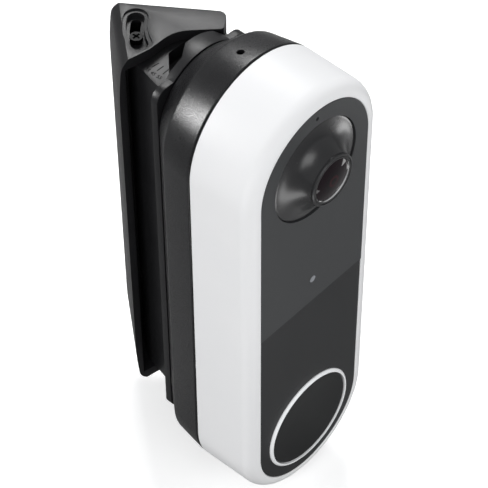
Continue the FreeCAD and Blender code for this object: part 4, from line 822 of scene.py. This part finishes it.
def floor():
    """A pale floor that stays white in view but keeps the object's shadow."""
    bm = bmesh.new()
    bmesh.ops.create_grid(bm, x_segments=1, y_segments=1, size=6)
    mesh = bpy.data.meshes.new("floor")
    bm.to_mesh(mesh)
    bm.free()
    ground = bpy.data.objects.new("floor", mesh)
    ground.location.z = cad_box[0][2] - FLOOR_GAP
    bpy.context.scene.collection.objects.link(ground)
    material = bpy.data.materials.new("pale_floor")
    backdrop = Backdrop(material)
    grey = backdrop.node("ShaderNodeBsdfDiffuse", inputs={"Color": rgba(0.2, 0.2, 0.2)})
    matt = backdrop.node("ShaderNodeBsdfDiffuse", inputs={"Color": rgba(0.9, 0.9, 0.9)})
    glow = backdrop.node("ShaderNodeEmission", inputs={"Color": rgba(1, 1, 1), "Strength": 0.4})
    pale = backdrop.node("ShaderNodeAddShader", inputs=(matt, glow))
    backdrop.show("ShaderNodeOutputMaterial", grey, pale, FLOOR_IN_GLOSS)
    mesh.materials.append(material)


def sky():
    """White where it is seen, and a dimmer even light otherwise."""
    world = bpy.data.worlds.new("studio")
    bpy.context.scene.world = world
    backdrop = Backdrop(world)
    dim = backdrop.node("ShaderNodeBackground", inputs={"Color": rgba(0.95, 0.97, 1.0), "Strength": 0.25})
    white = backdrop.node("ShaderNodeBackground", inputs={"Color": rgba(1, 1, 1)})
    backdrop.show("ShaderNodeOutputWorld", dim, white, SKY_IN_GLOSS)


def towards(azimuth, elevation):
    """A direction; azimuth 0 stands in front of the wall, 90 to its right."""
    across, rise = math.radians(azimuth), math.radians(elevation)
    return Vector((math.sin(across) * math.cos(rise), -math.cos(across) * math.cos(rise), math.sin(rise)))


def area_lamp(name, size, power, location, rotation):
    """A rectangular lamp that the camera doesn't see."""
    data = bpy.data.lights.new(name, "AREA")
    data.shape = "RECTANGLE"
    data.size, data.size_y = size
    data.energy = power
    lamp = bpy.data.objects.new(name, data)
    lamp.location = location
    lamp.rotation_euler = rotation
    lamp.visible_camera = False
    bpy.context.scene.collection.objects.link(lamp)
    return lamp


def softbox(name, azimuth, elevation, distance, size, power):
    """A lamp in this direction that faces the doorbell."""
    direction = towards(azimuth, elevation)
    rotation = (-direction).to_track_quat("-Z", "Y").to_euler()
    return area_lamp(name, size, power, AIM + direction * distance, rotation)


def reflector(name, azimuth, near, far, width, power):
    """A bright card lying on the floor in front of the hood, seen only in its gloss."""
    spot = HEAD @ Vector((0, 0, REACH)) + towards(azimuth, 0) * (near + far) / 2
    spot.z = cad_box[0][2] + CARD_HEIGHT
    card = area_lamp(name, (width, far - near), power, spot, (math.pi, 0, math.radians(azimuth)))
    card.visible_diffuse = False


def camera():
    direction = towards(CAMERA_AZIMUTH, CAMERA_ELEVATION)
    data = bpy.data.cameras.new("camera")
    data.sensor_width = 36
    data.lens = 155.84
    data.clip_start = 0.01
    item = bpy.data.objects.new("camera", data)
    item.location = AIM + direction * CAMERA_DISTANCE
    tilt = Matrix.Rotation(math.radians(CAMERA_TILT), 3, "Z")
    item.rotation_euler = ((-direction).to_track_quat("-Z", "Y").to_matrix() @ tilt).to_euler()
    bpy.context.scene.collection.objects.link(item)
    bpy.context.scene.camera = item


AIM = HEAD @ Vector((-14.54 * MM, 10 * MM, 26.4 * MM))
CAMERA_AZIMUTH = 7.54
CAMERA_ELEVATION = 47.8
CAMERA_DISTANCE = 0.5146
CAMERA_TILT = -0.38
FLOOR_GAP = 1.5 * MM
CARD_HEIGHT = 1 * MM
FLOOR_IN_GLOSS = 0.1
SKY_IN_GLOSS = 0.3

camera()
softbox("overhead", -30, 70, 0.9, (0.8, 0.8), 0.3)
softbox("left_strip", -82, 24, 0.8, (0.15, 0.32), 6.2).visible_diffuse = False
softbox("left_side", -72, 14, 0.8, (0.3, 0.3), 1.9).visible_glossy = False
softbox("behind", -172.5, 47.8, 0.8, (0.28, 0.28), 4.4)
softbox("right_front", 52, 18, 1.0, (0.4, 0.5), 1.8)
softbox("right_fill", 100, 8, 1.0, (0.6, 0.6), 3.6).visible_glossy = False
softbox("front_fill", -6, 15, 1.0, (1.2, 1.2), 9.8).visible_glossy = False
reflector("front_card", 32, 80 * MM, 150 * MM, 170 * MM, 0.12)
reflector("right_card", 120, 160 * MM, 400 * MM, 55 * MM, 0.17)
sky()
floor()
bpy.context.scene.view_settings.view_transform = "Standard"
